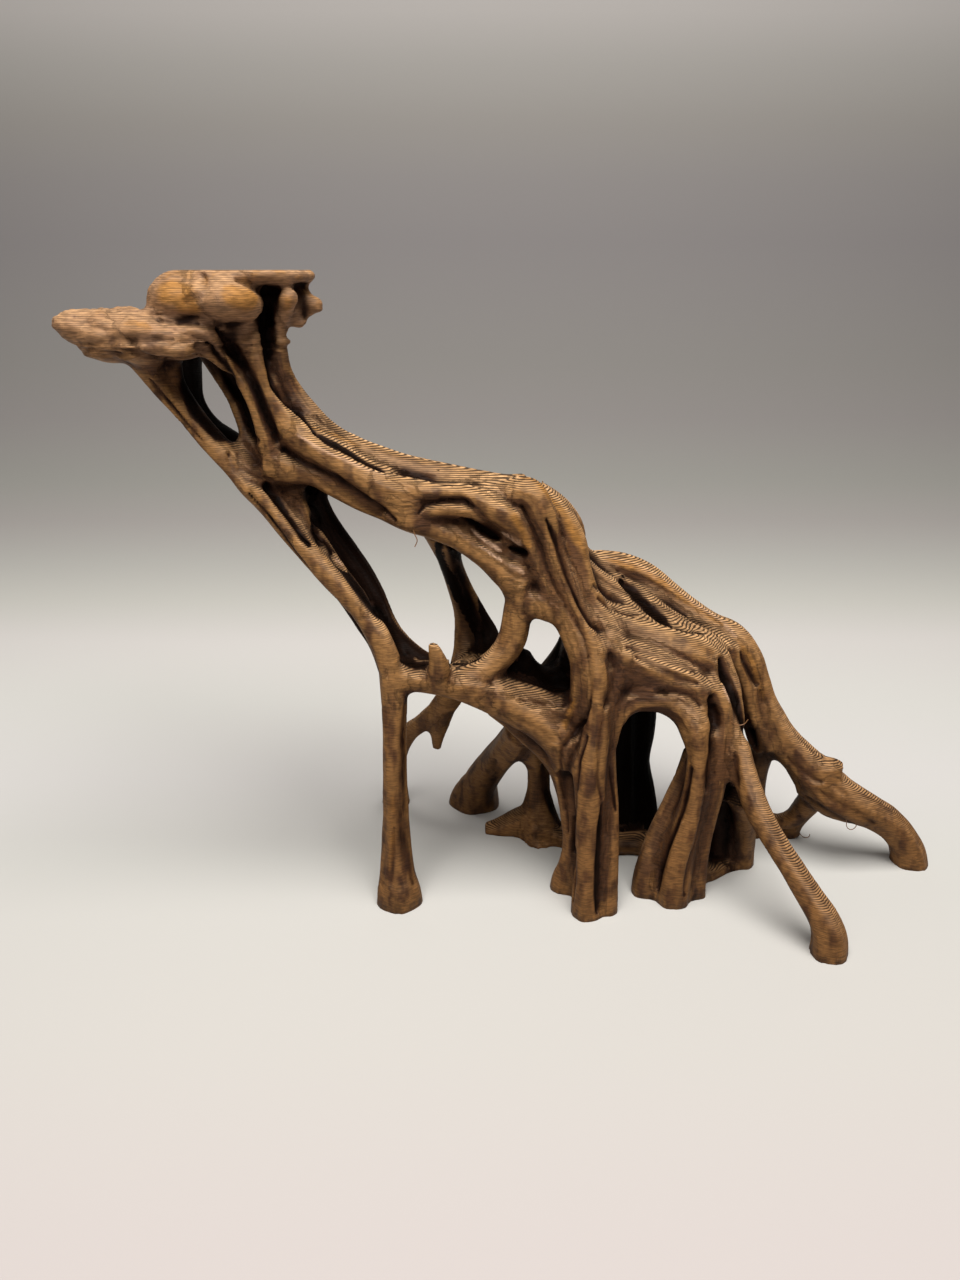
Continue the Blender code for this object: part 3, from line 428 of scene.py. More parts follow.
# Lobes of the ledges: (across, up, depth) of the middle, then the half sizes (x, y, z), in mm
UPPER_LEDGE = {
    "left lobe": (-92.4, 173.2, -2, 9, 13, 7),
    "front lobe": (-82.5, 173.4, -9, 9.7, 9, 5.2),
    "round end of the front lobe": (-77, 172.2, -9, 4.5, 6, 4.4),
    "slab": (-76, 179, 3, 16.8, 16, 3.6),
    "right end of the slab": (-67.4, 178.6, 3, 8.6, 12, 3),
    "knob on the stem": (-66.6, 173.6, -4, 2.6, 3, 3.6),
    "back left lobe": (-88, 174.4, 12, 10, 9, 6),
    "back right lobe": (-74, 174.8, 11, 9, 8.6, 5.2),
    "small knob": (-59.3, 171.7, 4, 2.1, 2.3, 2.0),
    "neck of the small knob": (-61.6, 171.6, 4, 2.8, 2.8, 3.4),
    "crumb under the knob": (-63.6, 168.8, 3, 2.2, 2.4, 3),
    "root of the small knob": (-64.4, 173.6, 3, 2.8, 3, 3.6),
}
LOWER_LEDGE = {
    "tip": (-120.2, 166.6, -7, 6.8, 8.5, 4.4),
    "chin of the tip": (-116.5, 162.6, -6.5, 5.5, 7, 4.4),
    "first lobe": (-112, 164.3, -6, 9, 11, 7.1),
    "second lobe": (-103.5, 163.7, -7, 8.5, 12, 7.2),
    "third lobe": (-95, 163.6, -8, 8, 10.5, 5.6),
    "fold under the upper ledge": (-88, 164.6, -7, 6, 8.5, 5),
    "back lobe": (-111, 165.6, 8, 10, 10, 5.6),
    "inner back lobe": (-98, 165, 9, 11, 10, 6),
}

# Strands darkened all round, with how much: partly by the stain, and partly painted shade where they lie in
# shadow
STAINED_AND_SHADED_STRANDS = {
    "loop stem": 1.0, "stem behind the slim one": 1.0, "dark stem": 0.5, "web between the stems": 0.9,
    "web under the slab": 0.35, "side of the right stem": 0.2, "inner strand of the branch": 0.75,
    "back strand of the branch": 0.6, "inner strand of the brace": 0.8, "brace": 0.3, "post": 0.95,
    "strand by the post": 1.0, "inside of the third leg": 0.55, "pocket of the window": 1.0,
    "shade of the window": 0.8, "floor of the window": 1.0,
}

# Shape of a strand: its steps and sides, its shallow flutes and how far they wind, and its lumps
STRAND_SIZES = {
    "Step": 0.8 * MM, "Sides": 28, "Flutes": 5, "Flute share": 0.035, "Twist": 90.0, "Phase": 2.4,
    "Lump size": 11 * MM, "Lump height": 0.5 * MM,
}
KNOT_STEPS = 8
WELD = 0.001 * MM

# Nodes that work something out from their inputs in order: kind and settings
PLUS = ("ShaderNodeMath", {"operation": "ADD"})
MINUS = ("ShaderNodeMath", {"operation": "SUBTRACT"})
TIMES = ("ShaderNodeMath", {"operation": "MULTIPLY"})
TIMES_PLUS = ("ShaderNodeMath", {"operation": "MULTIPLY_ADD"})
DIVIDED_BY = ("ShaderNodeMath", {"operation": "DIVIDE"})
COSINE = ("ShaderNodeMath", {"operation": "COSINE"})


def linear(code):
    """A hex sRGB colour as linear red, green, blue and alpha."""
    channels = [int(code[k:k + 2], 16) / 255 for k in (1, 3, 5)]
    return tuple(c / 12.92 if c <= 0.04045 else ((c + 0.055) / 1.055) ** 2.4 for c in channels) + (1,)


def add_node(tree, kind, settings=None, inputs=None):
    """A node with its settings; its inputs, by name or in order, are linked to sockets or set."""
    node = tree.nodes.new(kind)
    for name, value in (settings or {}).items():
        setattr(node, name, value)
    if isinstance(inputs, dict):
        pairs = [(node.inputs[name], value) for name, value in inputs.items()]
    else:
        pairs = zip([socket for socket in node.inputs if socket.enabled], inputs or ())
    for socket, value in pairs:
        if isinstance(value, bpy.types.NodeSocket):
            tree.links.new(value, socket)
        elif socket.type == "RGBA":
            socket.default_value = linear(value)
        else:
            socket.default_value = value
    return node


def result(tree, recipe, *inputs):
    """What a node of this kind and these settings makes of its inputs, given in order."""
    node = add_node(tree, *recipe, inputs)
    return next(socket for socket in node.outputs if socket.enabled)


def new_tree(name, sizes):
    """A Geometry Nodes tree with named inputs, and its input and output nodes."""
    tree = bpy.data.node_groups.new(name, "GeometryNodeTree")
    tree.interface.new_socket("Geometry", in_out="INPUT", socket_type="NodeSocketGeometry")
    for label, value in sizes.items():
        kind = "NodeSocketInt" if isinstance(value, int) else "NodeSocketFloat"
        tree.interface.new_socket(label, in_out="INPUT", socket_type=kind)
    tree.interface.new_socket("Material", in_out="INPUT", socket_type="NodeSocketMaterial")
    tree.interface.new_socket("Geometry", in_out="OUTPUT", socket_type="NodeSocketGeometry")
    return tree, add_node(tree, "NodeGroupInput").outputs, add_node(tree, "NodeGroupOutput")


def finish_tree(tree, given, made, geometry):
    """Welds the ends, then Realize Instances and Set Material before the tree's output."""
    welded = add_node(
        tree, "GeometryNodeMergeByDistance", inputs={"Geometry": geometry.outputs[0], "Distance": WELD}
    )
    real = add_node(tree, "GeometryNodeRealizeInstances", inputs={"Geometry": welded.outputs[0]})
    dressed = add_node(
        tree, "GeometryNodeSetMaterial",
        inputs={"Geometry": real.outputs[0], "Material": given["Material"]},
    )
    tree.links.new(dressed.outputs[0], made.inputs[0])


def plain_copy(source, name):
    """A new object with the source's mesh as its modifiers leave it; the source goes."""
    mesh = bpy.data.meshes.new_from_object(source.evaluated_get(bpy.context.evaluated_depsgraph_get()))
    bpy.data.objects.remove(source)
    made = bpy.data.objects.new(name, mesh)
    bpy.context.scene.collection.objects.link(made)
    return made


def made_by(tree, source, sizes, material, name):
    """The plain mesh that the tree makes of the source object, as a new object; the source goes."""
    modifier = source.modifiers.new("made", "NODES")
    modifier.node_group = tree
    given = {**sizes, "Material": material}
    for socket in tree.interface.items_tree:
        if socket.in_out == "INPUT" and socket.name in given:
            modifier[socket.identifier] = given[socket.name]
    return plain_copy(source, name)


def fluted_strand_tree(sizes):
    """Strands with shallow flutes that wind along them, and soft lumps."""
    tree, given, made = new_tree("fluted strand", sizes)
    lines = add_node(
        tree, "GeometryNodeResampleCurve", {"mode": "LENGTH"},
        {"Curve": given["Geometry"], "Length": given["Step"]},
    ).outputs[0]
    radius = add_node(tree, "GeometryNodeInputRadius").outputs[0]
    along = add_node(tree, "GeometryNodeSplineParameter").outputs["Length"]
    index = add_node(tree, "GeometryNodeInputIndex").outputs[0]
    for name, kind, domain, value in (
        ("thickness", "FLOAT", "POINT", radius),
        ("along", "FLOAT", "POINT", along),
        ("strand", "INT", "CURVE", index),
    ):
        lines = add_node(
            tree, "GeometryNodeStoreNamedAttribute", {"data_type": kind, "domain": domain},
            {"Geometry": lines, "Name": name, "Value": value},
        ).outputs[0]
    ring = add_node(
        tree, "GeometryNodeCurvePrimitiveCircle", inputs={"Resolution": given["Sides"], "Radius": 1}
    )
    around = add_node(tree, "GeometryNodeSplineParameter").outputs["Factor"]
    marked = add_node(
        tree, "GeometryNodeStoreNamedAttribute", {"data_type": "FLOAT", "domain": "POINT"},
        {"Geometry": ring.outputs[0], "Name": "around", "Value": around},
    )
    tube = add_node(
        tree, "GeometryNodeCurveToMesh",
        inputs={"Curve": lines, "Profile Curve": marked.outputs[0], "Scale": radius, "Fill Caps": True},
    )
    read = {}
    for name, kind in (("thickness", "FLOAT"), ("along", "FLOAT"), ("around", "FLOAT"), ("strand", "INT")):
        named = add_node(tree, "GeometryNodeInputNamedAttribute", {"data_type": kind}, {"Name": name})
        read[name] = named.outputs[0]
    turn = result(tree, TIMES, result(tree, TIMES, read["around"], 2 * math.pi), given["Flutes"])
    wind = result(tree, TIMES, read["along"], given["Twist"])
    phase = result(tree, TIMES, read["strand"], given["Phase"])
    wave = result(tree, COSINE, result(tree, PLUS, result(tree, PLUS, turn, wind), phase))
    flute = result(tree, TIMES, result(tree, TIMES, wave, given["Flute share"]), read["thickness"])
    field = add_node(
        tree, "ShaderNodeTexNoise",
        inputs={"Scale": result(tree, DIVIDED_BY, 1, given["Lump size"]), "Detail": 1},
    )
    lump = result(tree, TIMES, result(tree, MINUS, field.outputs[0], 0.5), given["Lump height"])
    normal = add_node(tree, "GeometryNodeInputNormal")
    push = add_node(
        tree, "ShaderNodeVectorMath", {"operation": "SCALE"},
        {0: normal.outputs[0], "Scale": result(tree, PLUS, flute, lump)},
    )
    moved = add_node(
        tree, "GeometryNodeSetPosition", inputs={"Geometry": tube.outputs[0], "Offset": push.outputs[0]}
    )
    finish_tree(tree, given, made, moved)
    return tree


def smooth_curves(name, lines, steps):
    """Smooth curves as one object, each through its knots of (place, radius)."""
    curve = bpy.data.curves.new(name, "CURVE")
    curve.dimensions = "3D"
    curve.resolution_u = steps
    for knots in lines:
        line = curve.splines.new("BEZIER")
        line.bezier_points.add(len(knots) - 1)
        for point, (place, radius) in zip(line.bezier_points, knots):
            point.co = place
            point.radius = radius
            point.handle_left_type = "AUTO"
            point.handle_right_type = "AUTO"
    holder = bpy.data.objects.new(name, curve)
    bpy.context.scene.collection.objects.link(holder)
    return holder


# Everything starts thicker by the filling, which closes the narrow gaps between neighbours, and is
# drawn in by it again once fused. The skin makes up for what the softening takes off.
FILLING = 0.9 * MM
SKIN = 0.15 * MM
THICKER = SKIN + FILLING


def strand_knots(points):
    """The real places and radii of a strand's points."""
    knots = []
    for across, up, depth, radius in points:
        place, growth = sight_point(across, up, depth)
        knots.append((place, radius * MM * growth + THICKER))
    return knots


groups = (STEMS, TRUNK, LEFT_BRANCH, MIDDLE, HUMP, VAULT, BACK, FILLING_STRANDS)
lines = [strand_knots(points) for group in groups for points in group.values()]
root_material = bpy.data.materials.new("stained wood-brown printed plastic")
strands = made_by(
    fluted_strand_tree(STRAND_SIZES), smooth_curves("strands", lines, KNOT_STEPS), STRAND_SIZES,
    root_material, "strands",
)


def read_values(mesh, name):
    """A number at every vertex."""
    values = np.zeros(len(mesh.vertices))
    mesh.attributes[name].data.foreach_get("value", values)
    return values


# Every point of the tubes knows its place along and around its strand, as if the strands lay
# straight side by side, in mm, and how dark its strand is; the fused skin takes this over
STRAND_SPACING = 40
tube_points = np.array([vertex.co for vertex in strands.data.vertices])
tube_strand = read_values(strands.data, "strand").astype(int)
tube_turn = read_values(strands.data, "around") * 2 * math.pi
tube_radius = read_values(strands.data, "thickness") / MM
tube_straight = np.stack(
    [
        tube_radius * np.cos(tube_turn) + STRAND_SPACING * tube_strand,
        tube_radius * np.sin(tube_turn), read_values(strands.data, "along") / MM,
    ],
    axis=1,
)
names = [name for group in groups for name in group]
tube_dark = np.array([STAINED_AND_SHADED_STRANDS.get(name, 0.0) for name in names])[tube_strand]

LOWER_LEDGE_TOP = 170.5 * MM
ABOVE_THE_CUT = 2 * MM
LOBE_SEGMENTS = 48
LOBE_RINGS = 32


def add_lobes(body, lobes, flat_top):
    """Rounded lobes of a ledge, their tops pressed to one level."""
    for across, up, depth, half_x, half_y, half_z in lobes.values():
        middle, growth = sight_point(across, up, depth)
        halves = (half_x * growth * MM, half_y * MM, half_z * growth * MM)
        size = Matrix.Diagonal([*(half + FILLING for half in halves), 1])
        made = bmesh.ops.create_uvsphere(
            body, u_segments=LOBE_SEGMENTS, v_segments=LOBE_RINGS, radius=1,
            matrix=Matrix.Translation(middle) @ size,
        )
        for vertex in made["verts"]:
            vertex.co.z = min(vertex.co.z, flat_top)


loose = bmesh.new()
add_lobes(loose, LOWER_LEDGE, LOWER_LEDGE_TOP + FILLING)
add_lobes(loose, UPPER_LEDGE, HEIGHT + ABOVE_THE_CUT)
bmesh.ops.recalc_face_normals(loose, faces=loose.faces)
loose.from_mesh(strands.data)
loose.to_mesh(strands.data)
loose.free()


def fused(source, voxel=0.6 * MM):
    """The outer skin of everything in the mesh, as one closed surface of even small faces."""
    fuse = source.modifiers.new("fuse", "REMESH")
    fuse.mode = "VOXEL"
    fuse.voxel_size = voxel
    return plain_copy(source, "root_surface")


def positions(mesh):
    """Every vertex's place, as rows."""
    points = np.empty(len(mesh.vertices) * 3)
    mesh.vertices.foreach_get("co", points)
    return points.reshape(-1, 3)


def normals(mesh):
    """Every vertex's direction outwards, as rows."""
    mesh.update()
    found = np.empty(len(mesh.vertices) * 3)
    mesh.vertex_normals.foreach_get("vector", found)
    return found.reshape(-1, 3)


def move_to(mesh, points):
    """Puts every vertex in its new place."""
    mesh.vertices.foreach_set("co", points.ravel())
    mesh.update()


def neighbour_table(mesh):
    """The two ends of every edge, and one over each vertex's number of neighbours."""
    ends = np.empty(len(mesh.edges) * 2, dtype=np.int32)
    mesh.edges.foreach_get("vertices", ends)
    ends = ends.reshape(-1, 2)
    return ends, 1 / np.maximum(1, np.bincount(ends.ravel(), minlength=len(mesh.vertices)))


def neighbour_mean(values, ends, share):
    """The mean of the neighbours' values at every vertex."""
    columns = values.reshape(len(share), -1)
    mean = np.empty_like(columns)
    for k in range(columns.shape[1]):
        column = columns[:, k]
        total = np.bincount(ends[:, 0], column[ends[:, 1]], len(share))
        total += np.bincount(ends[:, 1], column[ends[:, 0]], len(share))
        mean[:, k] = total * share
    return mean.reshape(values.shape)


def draw_in(mesh, amount, steps=5, rate=0.2):
    """Moves the skin inwards by an amount; the creases between strands open into soft fillets."""
    ends, share = neighbour_table(mesh)
    points = positions(mesh)
    for _ in range(steps):
        points -= normals(mesh) * (amount / steps)
        points += (neighbour_mean(points, ends, share) - points) * rate
        move_to(mesh, points)


def soften(mesh, rounds=2, rate=0.5):
    """Evens out the skin's smallest steps."""
    ends, share = neighbour_table(mesh)
    points = positions(mesh)
    for _ in range(rounds):
        points += (neighbour_mean(points, ends, share) - points) * rate
    move_to(mesh, points)


root = fused(strands)
soften(root.data)
draw_in(root.data, FILLING)
root = fused(root)
soften(root.data)


def kd_tree(points):
    """The points, ready to be searched."""
    tree = KDTree(len(points))
    for index, point in enumerate(points):
        tree.insert(point, index)
    tree.balance()
    return tree


def nearest(tree, points):
    """The index of the nearest point in the tree to each of the points."""
    return np.array([tree.find(point)[1] for point in points])


def noise_at(place, size):
    """Noise from -1 to 1 at a place, with spots of about the given size along x, y and z."""
    return noise.noise(Vector([p / s for p, s in zip(place, size)]))


source = nearest(kd_tree(tube_points), positions(root.data))
straight = tube_straight[source]
strand_dark = tube_dark[source]

# Shallow flutes along every strand, with finer ones in them; sizes in mm
FLUTE_SIZE = (2.4, 2.4, 26)
FINER = 2.1
FINER_SHARE = 0.5
HIGHEST_FLUTE = 0.25
FLUTE_HEIGHT = 0.28 * MM
LEDGES_FROM = 160 * MM
LEDGES_END = -50 * MM
points = positions(root.data)
on_ledge = (points[:, 2] > LEDGES_FROM) & (points[:, 0] < LEDGES_END)
flute = np.array([
    noise.noise(Vector(place)) + FINER_SHARE * noise.noise(Vector(place) * FINER)
    for place in straight / FLUTE_SIZE
])
flute[on_ledge] = 0
strand_dark[on_ledge] = 0
points += normals(root.data) * (np.minimum(flute, HIGHEST_FLUTE) * FLUTE_HEIGHT)[:, None]

# Painted shade on the dark strands: black only on the sides turned to the front, and brown with dark hollows
# behind
DARK_BEHIND = 0.3
towards_front = np.clip(0.5 - normals(root.data)[:, 1], 0, 1)
strand_dark *= DARK_BEHIND + (1 - DARK_BEHIND) * towards_front

# The ledges are rough: lumpy, with fine pits on top and ragged thin layers below; sizes in mm
LUMP = (7, 7, 5)
PIT = (1.6, 1.6, 1.6)
THIN_LAYER = (5, 5, 1.1)
LEDGE_ROUGH = 0.55 * MM
LUMP_SHARE = 1.2
FACES_UP = 0.6
UPPER_LEVEL = 170.7
UPPER_ROUGH = 0.25
UPPER_LUMPS = 0.3
RAGGED_LEVEL = 163
RAGGED_ROUGH = 2.2
out = normals(root.data)
for index in np.nonzero(on_ledge)[0]:
    place = points[index] / MM
    height = place[2]
    rises = out[index][2]
    lumps = noise_at(place, LUMP)
    fine = noise_at(place, PIT if rises > FACES_UP else THIN_LAYER)
    rough = 1.0
    if height > UPPER_LEVEL:
        rough = UPPER_ROUGH
        lumps *= UPPER_LUMPS
    if height < RAGGED_LEVEL and rises < 0:
        rough = RAGGED_ROUGH
    points[index] += out[index] * (lumps * LUMP_SHARE + fine * rough) * LEDGE_ROUGH
move_to(root.data, points)

# Grooves, drawn on the root in its front view as (half width, depth, stain, line): widths and depths in mm,
# stain from 0 to 1, the line as (across, up) points. The stain is partly real stain and partly painted
# shade, as on the dark sides of the legs. Below zero they stand up and are paler: partly paler paint, partly
# painted highlight on lit edges and crests.
STROKES = {
    "valley between the ledge's lobes": (2.1, 1.3, 0.7, [
        (-87.5, 178.6), (-87.3, 175.5), (-89, 173.5), (-92.5, 172.4),
    ]),
    "under the slab": (1.5, 1.3, 0.9, [
        (-79, 177.6), (-75, 176.3), (-72.5, 174.8), (-69, 175), (-66, 176), (-62.5, 175.8),
        (-59.5, 176.3),
    ]),
    "under the front lobe": (1.5, 1.0, 0.6, [(-100, 168), (-95, 167.5), (-88, 167), (-83, 166.3)]),
    "first pit": (1.9, 1.0, 1.0, [(-108.2, 163), (-106.5, 162.8)]),
    "second pit": (1.5, 0.8, 0.8, [(-119, 161.7), (-116.6, 161.5)]),
    "third pit": (2.2, 0.6, 0.5, [(-112, 168.2), (-109.4, 168)]),
    "crease of the lower ledge": (1.4, 1.1, 0.9, [
        (-101.5, 163.2), (-96, 162.6), (-92, 161.8), (-87, 161.5),
    ]),
    "edge of the fan": (1.4, 0.8, 0.5, [(-100, 167), (-95, 165.2), (-89.5, 163.2), (-86, 161)]),
    "low crease of the ledge": (1.1, 0.8, 0.7, [
        (-113, 160.8), (-108, 160), (-102, 158.6), (-96, 158.3), (-89.5, 159.3),
    ]),
    "left of the first lobe": (1.6, 0.7, 0.4, [(-121.5, 168.5), (-117.5, 166), (-113.5, 165.2)]),
    "bulge of the left lobe": (6.0, -1.3, 0.0, [(-95, 173.6), (-92.5, 173.6)]),
    "bulge of the front lobe": (5.0, -1.2, 0.0, [(-84, 172.8), (-77, 172.4)]),
    "shade by the small knob": (2.2, 0.5, 0.7, [(-63, 175.5), (-62.4, 171.5), (-61.8, 168.4)]),
    "tip lump": (3.0, -0.7, -0.2, [(-121.5, 166.8), (-120, 166.4)]),
    "first lump": (3.4, -0.9, -0.2, [(-116.5, 166.6), (-113, 165.8)]),
    "second lump": (3.4, -0.9, -0.2, [(-108.5, 166.2), (-103.5, 165.2)]),
    "lower lip": (2.2, -0.7, -0.1, [(-105, 161.2), (-98, 160.4), (-90, 160.6)]),
    "knob of the right stem": (3.4, -1.5, -0.3, [(-66, 175.3), (-65.8, 173)]),
    "between the lobe and the knob": (1.3, 0.8, 0.8, [
        (-71.8, 176), (-71.4, 171.5), (-71.7, 166), (-71.4, 161),
    ]),
    "inside of the loop": (2.9, 0.2, 1.4, [
        (-94.5, 156.5), (-94.6, 150.4), (-92.3, 144.2), (-87.4, 139), (-83.2, 136.8),
    ]),
    "line on the outer stem": (0.9, 0.7, 0.75, [
        (-104, 153), (-100, 147.5), (-95.7, 141.5), (-91.3, 136.3),
    ]),
    "by the slim stem, left": (1.9, 1.5, 1.0, [
        (-87, 161), (-84, 157), (-81.8, 151.5), (-79.8, 146.5), (-78.3, 141), (-77, 136.8),
    ]),
    "by the slim stem, right": (2.0, 1.3, 0.95, [
        (-84.5, 165.5), (-81.7, 161), (-79, 156.7), (-76.7, 151.5), (-75, 146.5), (-73.2, 141),
        (-71.5, 136.5),
    ]),
    "by the right stem": (2.2, 1.6, 1.2, [
        (-72.6, 172), (-72.6, 164.5), (-72.2, 157.5), (-71, 151.5), (-68.2, 147.3), (-64.2, 143.2),
        (-60.5, 139.5),
    ]),
    "crest of the trunk": (2.6, 1.3, 1.1, [
        (-61, 139.5), (-57, 137.2), (-52, 134), (-47, 131.2), (-43, 129.2),
    ]),
    "line on the crest": (1.1, 0.4, 0.6, [(-42, 129), (-37, 127.4), (-30, 126), (-24, 124.8)]),
    "lit edge of the trunk": (1.1, -0.5, -0.6, [
        (-66, 138.5), (-60, 134.6), (-54, 132), (-47, 129), (-41.5, 127),
    ]),
    "under the trunk": (1.8, 1.2, 0.75, [
        (-70, 134.5), (-64.7, 130.7), (-60, 128.4), (-56.5, 126.8), (-50, 122), (-44, 118),
        (-40.5, 114.8),
    ]),
    "round the neck": (1.5, 0.8, 0.4, [
        (-85, 133.5), (-84.3, 129.8), (-80, 126), (-75.5, 124.3), (-72.5, 122.5),
    ]),
    "round the neck again": (1.0, 0.5, 0.3, [
        (-82.5, 133.5), (-82, 129.8), (-78.5, 127.3), (-73.5, 126.6),
    ]),
    "left line on the branch": (0.9, 0.6, 0.85, [
        (-80.5, 122.5), (-76.5, 117.5), (-73, 112.3), (-69, 105.8), (-65, 100.5),
    ]),
    "black line on the branch": (2.1, 1.5, 1.3, [
        (-75.5, 125), (-73, 121.3), (-70, 117), (-67, 112.3), (-64.6, 108),
    ]),
    "slot of the branch": (2.4, 2.0, 1.2, [(-62.2, 123), (-63, 118.7), (-62.3, 113), (-61.5, 108.5)]),
    "black side of the branch": (4.0, 1.2, 1.2, [
        (-60, 109.7), (-56, 103), (-51.3, 96), (-46.5, 88.5), (-43.3, 83.3), (-41.6, 79), (-38.5, 74.8),
    ]),
    "sliver on the branch": (1.3, -0.4, -1.2, [(-57.3, 104.8), (-55, 102.8), (-52.5, 100.6)]),
    "arc over the eye": (1.3, 1.1, 1.0, [
        (-34, 117), (-32.3, 119.5), (-27.5, 120.4), (-21.5, 120.4), (-18.6, 118.6),
    ]),
    "under the arc": (1.6, -0.4, -0.1, [(-31, 116.8), (-26, 117.7), (-21, 117.3)]),
    "knob over the eye": (4.5, -1.2, -0.1, [(-13, 118), (-8, 115.5)]),
    "basin of the eye": (3.4, 0.9, 0.3, [(-19, 111.5), (-13, 107.5), (-7.5, 103.5)]),
    "crevice of the eye": (1.5, 2.2, 1.3, [
        (-22, 115.6), (-20, 114.4), (-17.5, 113), (-14.5, 111.6), (-11.5, 109.8),
    ]),
    "hole of the eye": (1.3, 2.0, 1.3, [(-8.6, 107.4), (-6.4, 106.3), (-4.2, 105.4)]),
    "lip of the eye": (1.2, -0.6, -1.2, [(-10.6, 111.9), (-8, 110.3), (-5.6, 108)]),
    "pale streak of the eye": (0.7, -0.4, -1.2, [(-19.4, 112.4), (-15, 109), (-10.8, 106)]),
    "second streak of the eye": (0.6, -0.3, -1.0, [(-17, 107.8), (-13.5, 105.4), (-10.5, 103)]),
    "pale end of the eye": (0.9, -0.3, -1.0, [(-8.6, 102.4), (-6.5, 100.9), (-4.4, 99.8)]),
    "left groove of the hump": (1.3, 0.8, 0.4, [
        (-5.5, 119), (-2.5, 113.2), (0.2, 107), (2.2, 100.6), (5.3, 94), (9.2, 87.5), (12.8, 80.8),
        (15, 74), (15.8, 66), (15.5, 58), (13, 51),
    ]),
    "dark groove of the hump": (2.0, 1.2, 0.9, [
        (1.5, 115), (4.8, 108.8), (6.6, 103.2), (8.8, 97.3), (12, 90.2), (15.3, 84.6), (18, 82),
    ]),
    "valley of the vault": (3.4, 1.7, 1.25, [(23.5, 97), (27.5, 94), (31.5, 90), (35, 86.8), (38, 84.2)]),
    "end of the valley": (1.5, 0.7, 0.7, [(37.7, 84.3), (43, 82.4), (47.5, 81.8)]),
    "upper line on the vault": (1.4, 0.9, 0.6, [(15.7, 96.2), (19.7, 92.8), (24.5, 91)]),
    "middle line on the vault": (1.4, 0.7, 0.55, [(17, 92.2), (20.5, 89.4), (25, 87.6), (28.8, 87.5)]),
    "upper line on the saddle": (1.6, 0.6, 0.25, [(26, 77), (33, 74.9), (39.5, 72), (46.5, 69.5)]),
    "lower line on the saddle": (1.8, 0.8, 0.45, [(29, 74.2), (36, 70.6), (42.5, 67.2), (47.8, 65.4)]),
    "line over the arch": (1.5, 0.7, 0.5, [(35.5, 62.5), (41, 63), (46, 61.5), (49, 58)]),
    "between the hump and the vault": (2.2, 1.1, 0.5, [
        (21.3, 75), (23.3, 69.5), (22.7, 64), (20.7, 57.5),
    ]),
    "back of the ridge": (1.6, 0.6, 0.5, [(22, 100.5), (29, 97), (36, 91.5), (43, 86.8)]),
    "crest of the ridge": (1.7, -0.15, -0.7, [
        (18.4, 104.5), (28.1, 101.7), (36.4, 96.7), (44.9, 90.2), (53.4, 84.6), (57.8, 80.1),
    ]),
    "patch on the ridge": (1.9, 1.0, 0.7, [(59.6, 75.5), (62.3, 70), (65.3, 65)]),
    "second patch on the ridge": (1.4, 0.5, 0.45, [(66.3, 63.5), (67.8, 59.5)]),
    "black slit": (2.8, 2.2, 1.4, [(54, 73), (56, 67.3), (60, 59.8), (63.2, 51.8), (66.2, 44.5)]),
    "sliver in the slit": (0.8, -0.5, -1.0, [(55, 65.6), (56.4, 62.4), (57.8, 59.4)]),
    "third leg, dark line": (2.4, 1.2, 0.9, [
        (51.6, 61), (53.2, 52.5), (53.8, 44), (53.7, 36), (53.6, 29),
    ]),
    "third leg, low line": (1.8, 1.0, 0.55, [
        (53.6, 29), (52.8, 20), (51.6, 12), (50.2, 3), (49.6, -5), (49.6, -10),
    ]),
    "third leg, right patch": (1.6, 0.6, 0.65, [(60.8, 41.5), (61.6, 36), (62.6, 31)]),
    "third leg, left line": (1.9, 1.1, 0.9, [(47.6, 37), (45.9, 22.5), (42.3, 9), (40.6, 0), (40.3, -7)]),
    "third leg, black inside": (3.2, 0.6, 1.0, [(59.2, 23.5), (60.6, 14), (61.2, 5)]),
    "front leg, dark side": (3.0, 0.3, 0.6, [
        (-38.8, 61.5), (-40, 50), (-40.2, 40), (-40.9, 30), (-41.6, 20), (-41, 10), (-39.6, 1),
        (-38.4, -5),
    ]),
    "line on the front leg": (1.0, 0.4, 0.35, [(-44, 16), (-44.6, 5), (-46, -6)]),
    "curl left of the cluster": (1.2, 0.9, 0.55, [
        (15.3, 60), (14.4, 53.5), (11.3, 49), (8.6, 44.5), (7.4, 39.5), (8.4, 31.5), (9.2, 22),
    ]),
    "line left of the cluster": (1.1, 0.8, 0.6, [
        (13.6, 50), (12.6, 45.6), (10.4, 40), (9.4, 33), (9.9, 25), (10.6, 14),
    ]),
    "edge of the cluster": (1.4, 1.2, 0.75, [
        (15.2, 48), (13, 40), (12.4, 30), (12.9, 20), (13.2, 8), (13.2, -4), (13, -12),
    ]),
    "cluster, upper line": (1.4, 0.6, 0.45, [(19.9, 53), (19.3, 45), (19.4, 35), (21, 26)]),
    "cluster, dark line": (2.6, 1.2, 0.95, [(21.4, 24), (21.2, 14), (21.1, 4), (21.3, -5), (21.7, -16)]),
    "cluster, right edge": (1.2, 0.5, 0.8, [(22.8, 38), (24.3, 30), (25.6, 22)]),
    "inner left leg, dark side": (2.8, 0.4, 0.8, [(2.2, 38.5), (3.1, 30), (5.6, 23), (8.4, 17)]),
    "back left leg, dark side": (3.8, 0.4, 0.6, [(-12.4, 40), (-13.4, 31), (-14.3, 23)]),
    "toe, dark patch": (1.5, 0.3, 0.5, [(-14.2, 18.6), (-11.6, 18.2)]),
    "line on the web": (1.2, 0.4, 0.35, [(-5, 60), (2, 58.4), (8, 58.8)]),
    "shade over the web": (3.0, 0.0, 0.45, [(-8, 62), (1, 60.5), (8.5, 58.5)]),
    "second line on the web": (1.2, 0.4, 0.35, [(-8, 55), (0, 51), (6, 46)]),
    "limb, dark line": (1.6, 0.6, 0.5, [(77, 41), (81.5, 36.6), (85.5, 33.6), (89, 32.4)]),
    "limb, lower line": (2.1, 0.5, 0.5, [(88, 29.6), (94, 25.4), (101, 21.6), (107, 17.5)]),
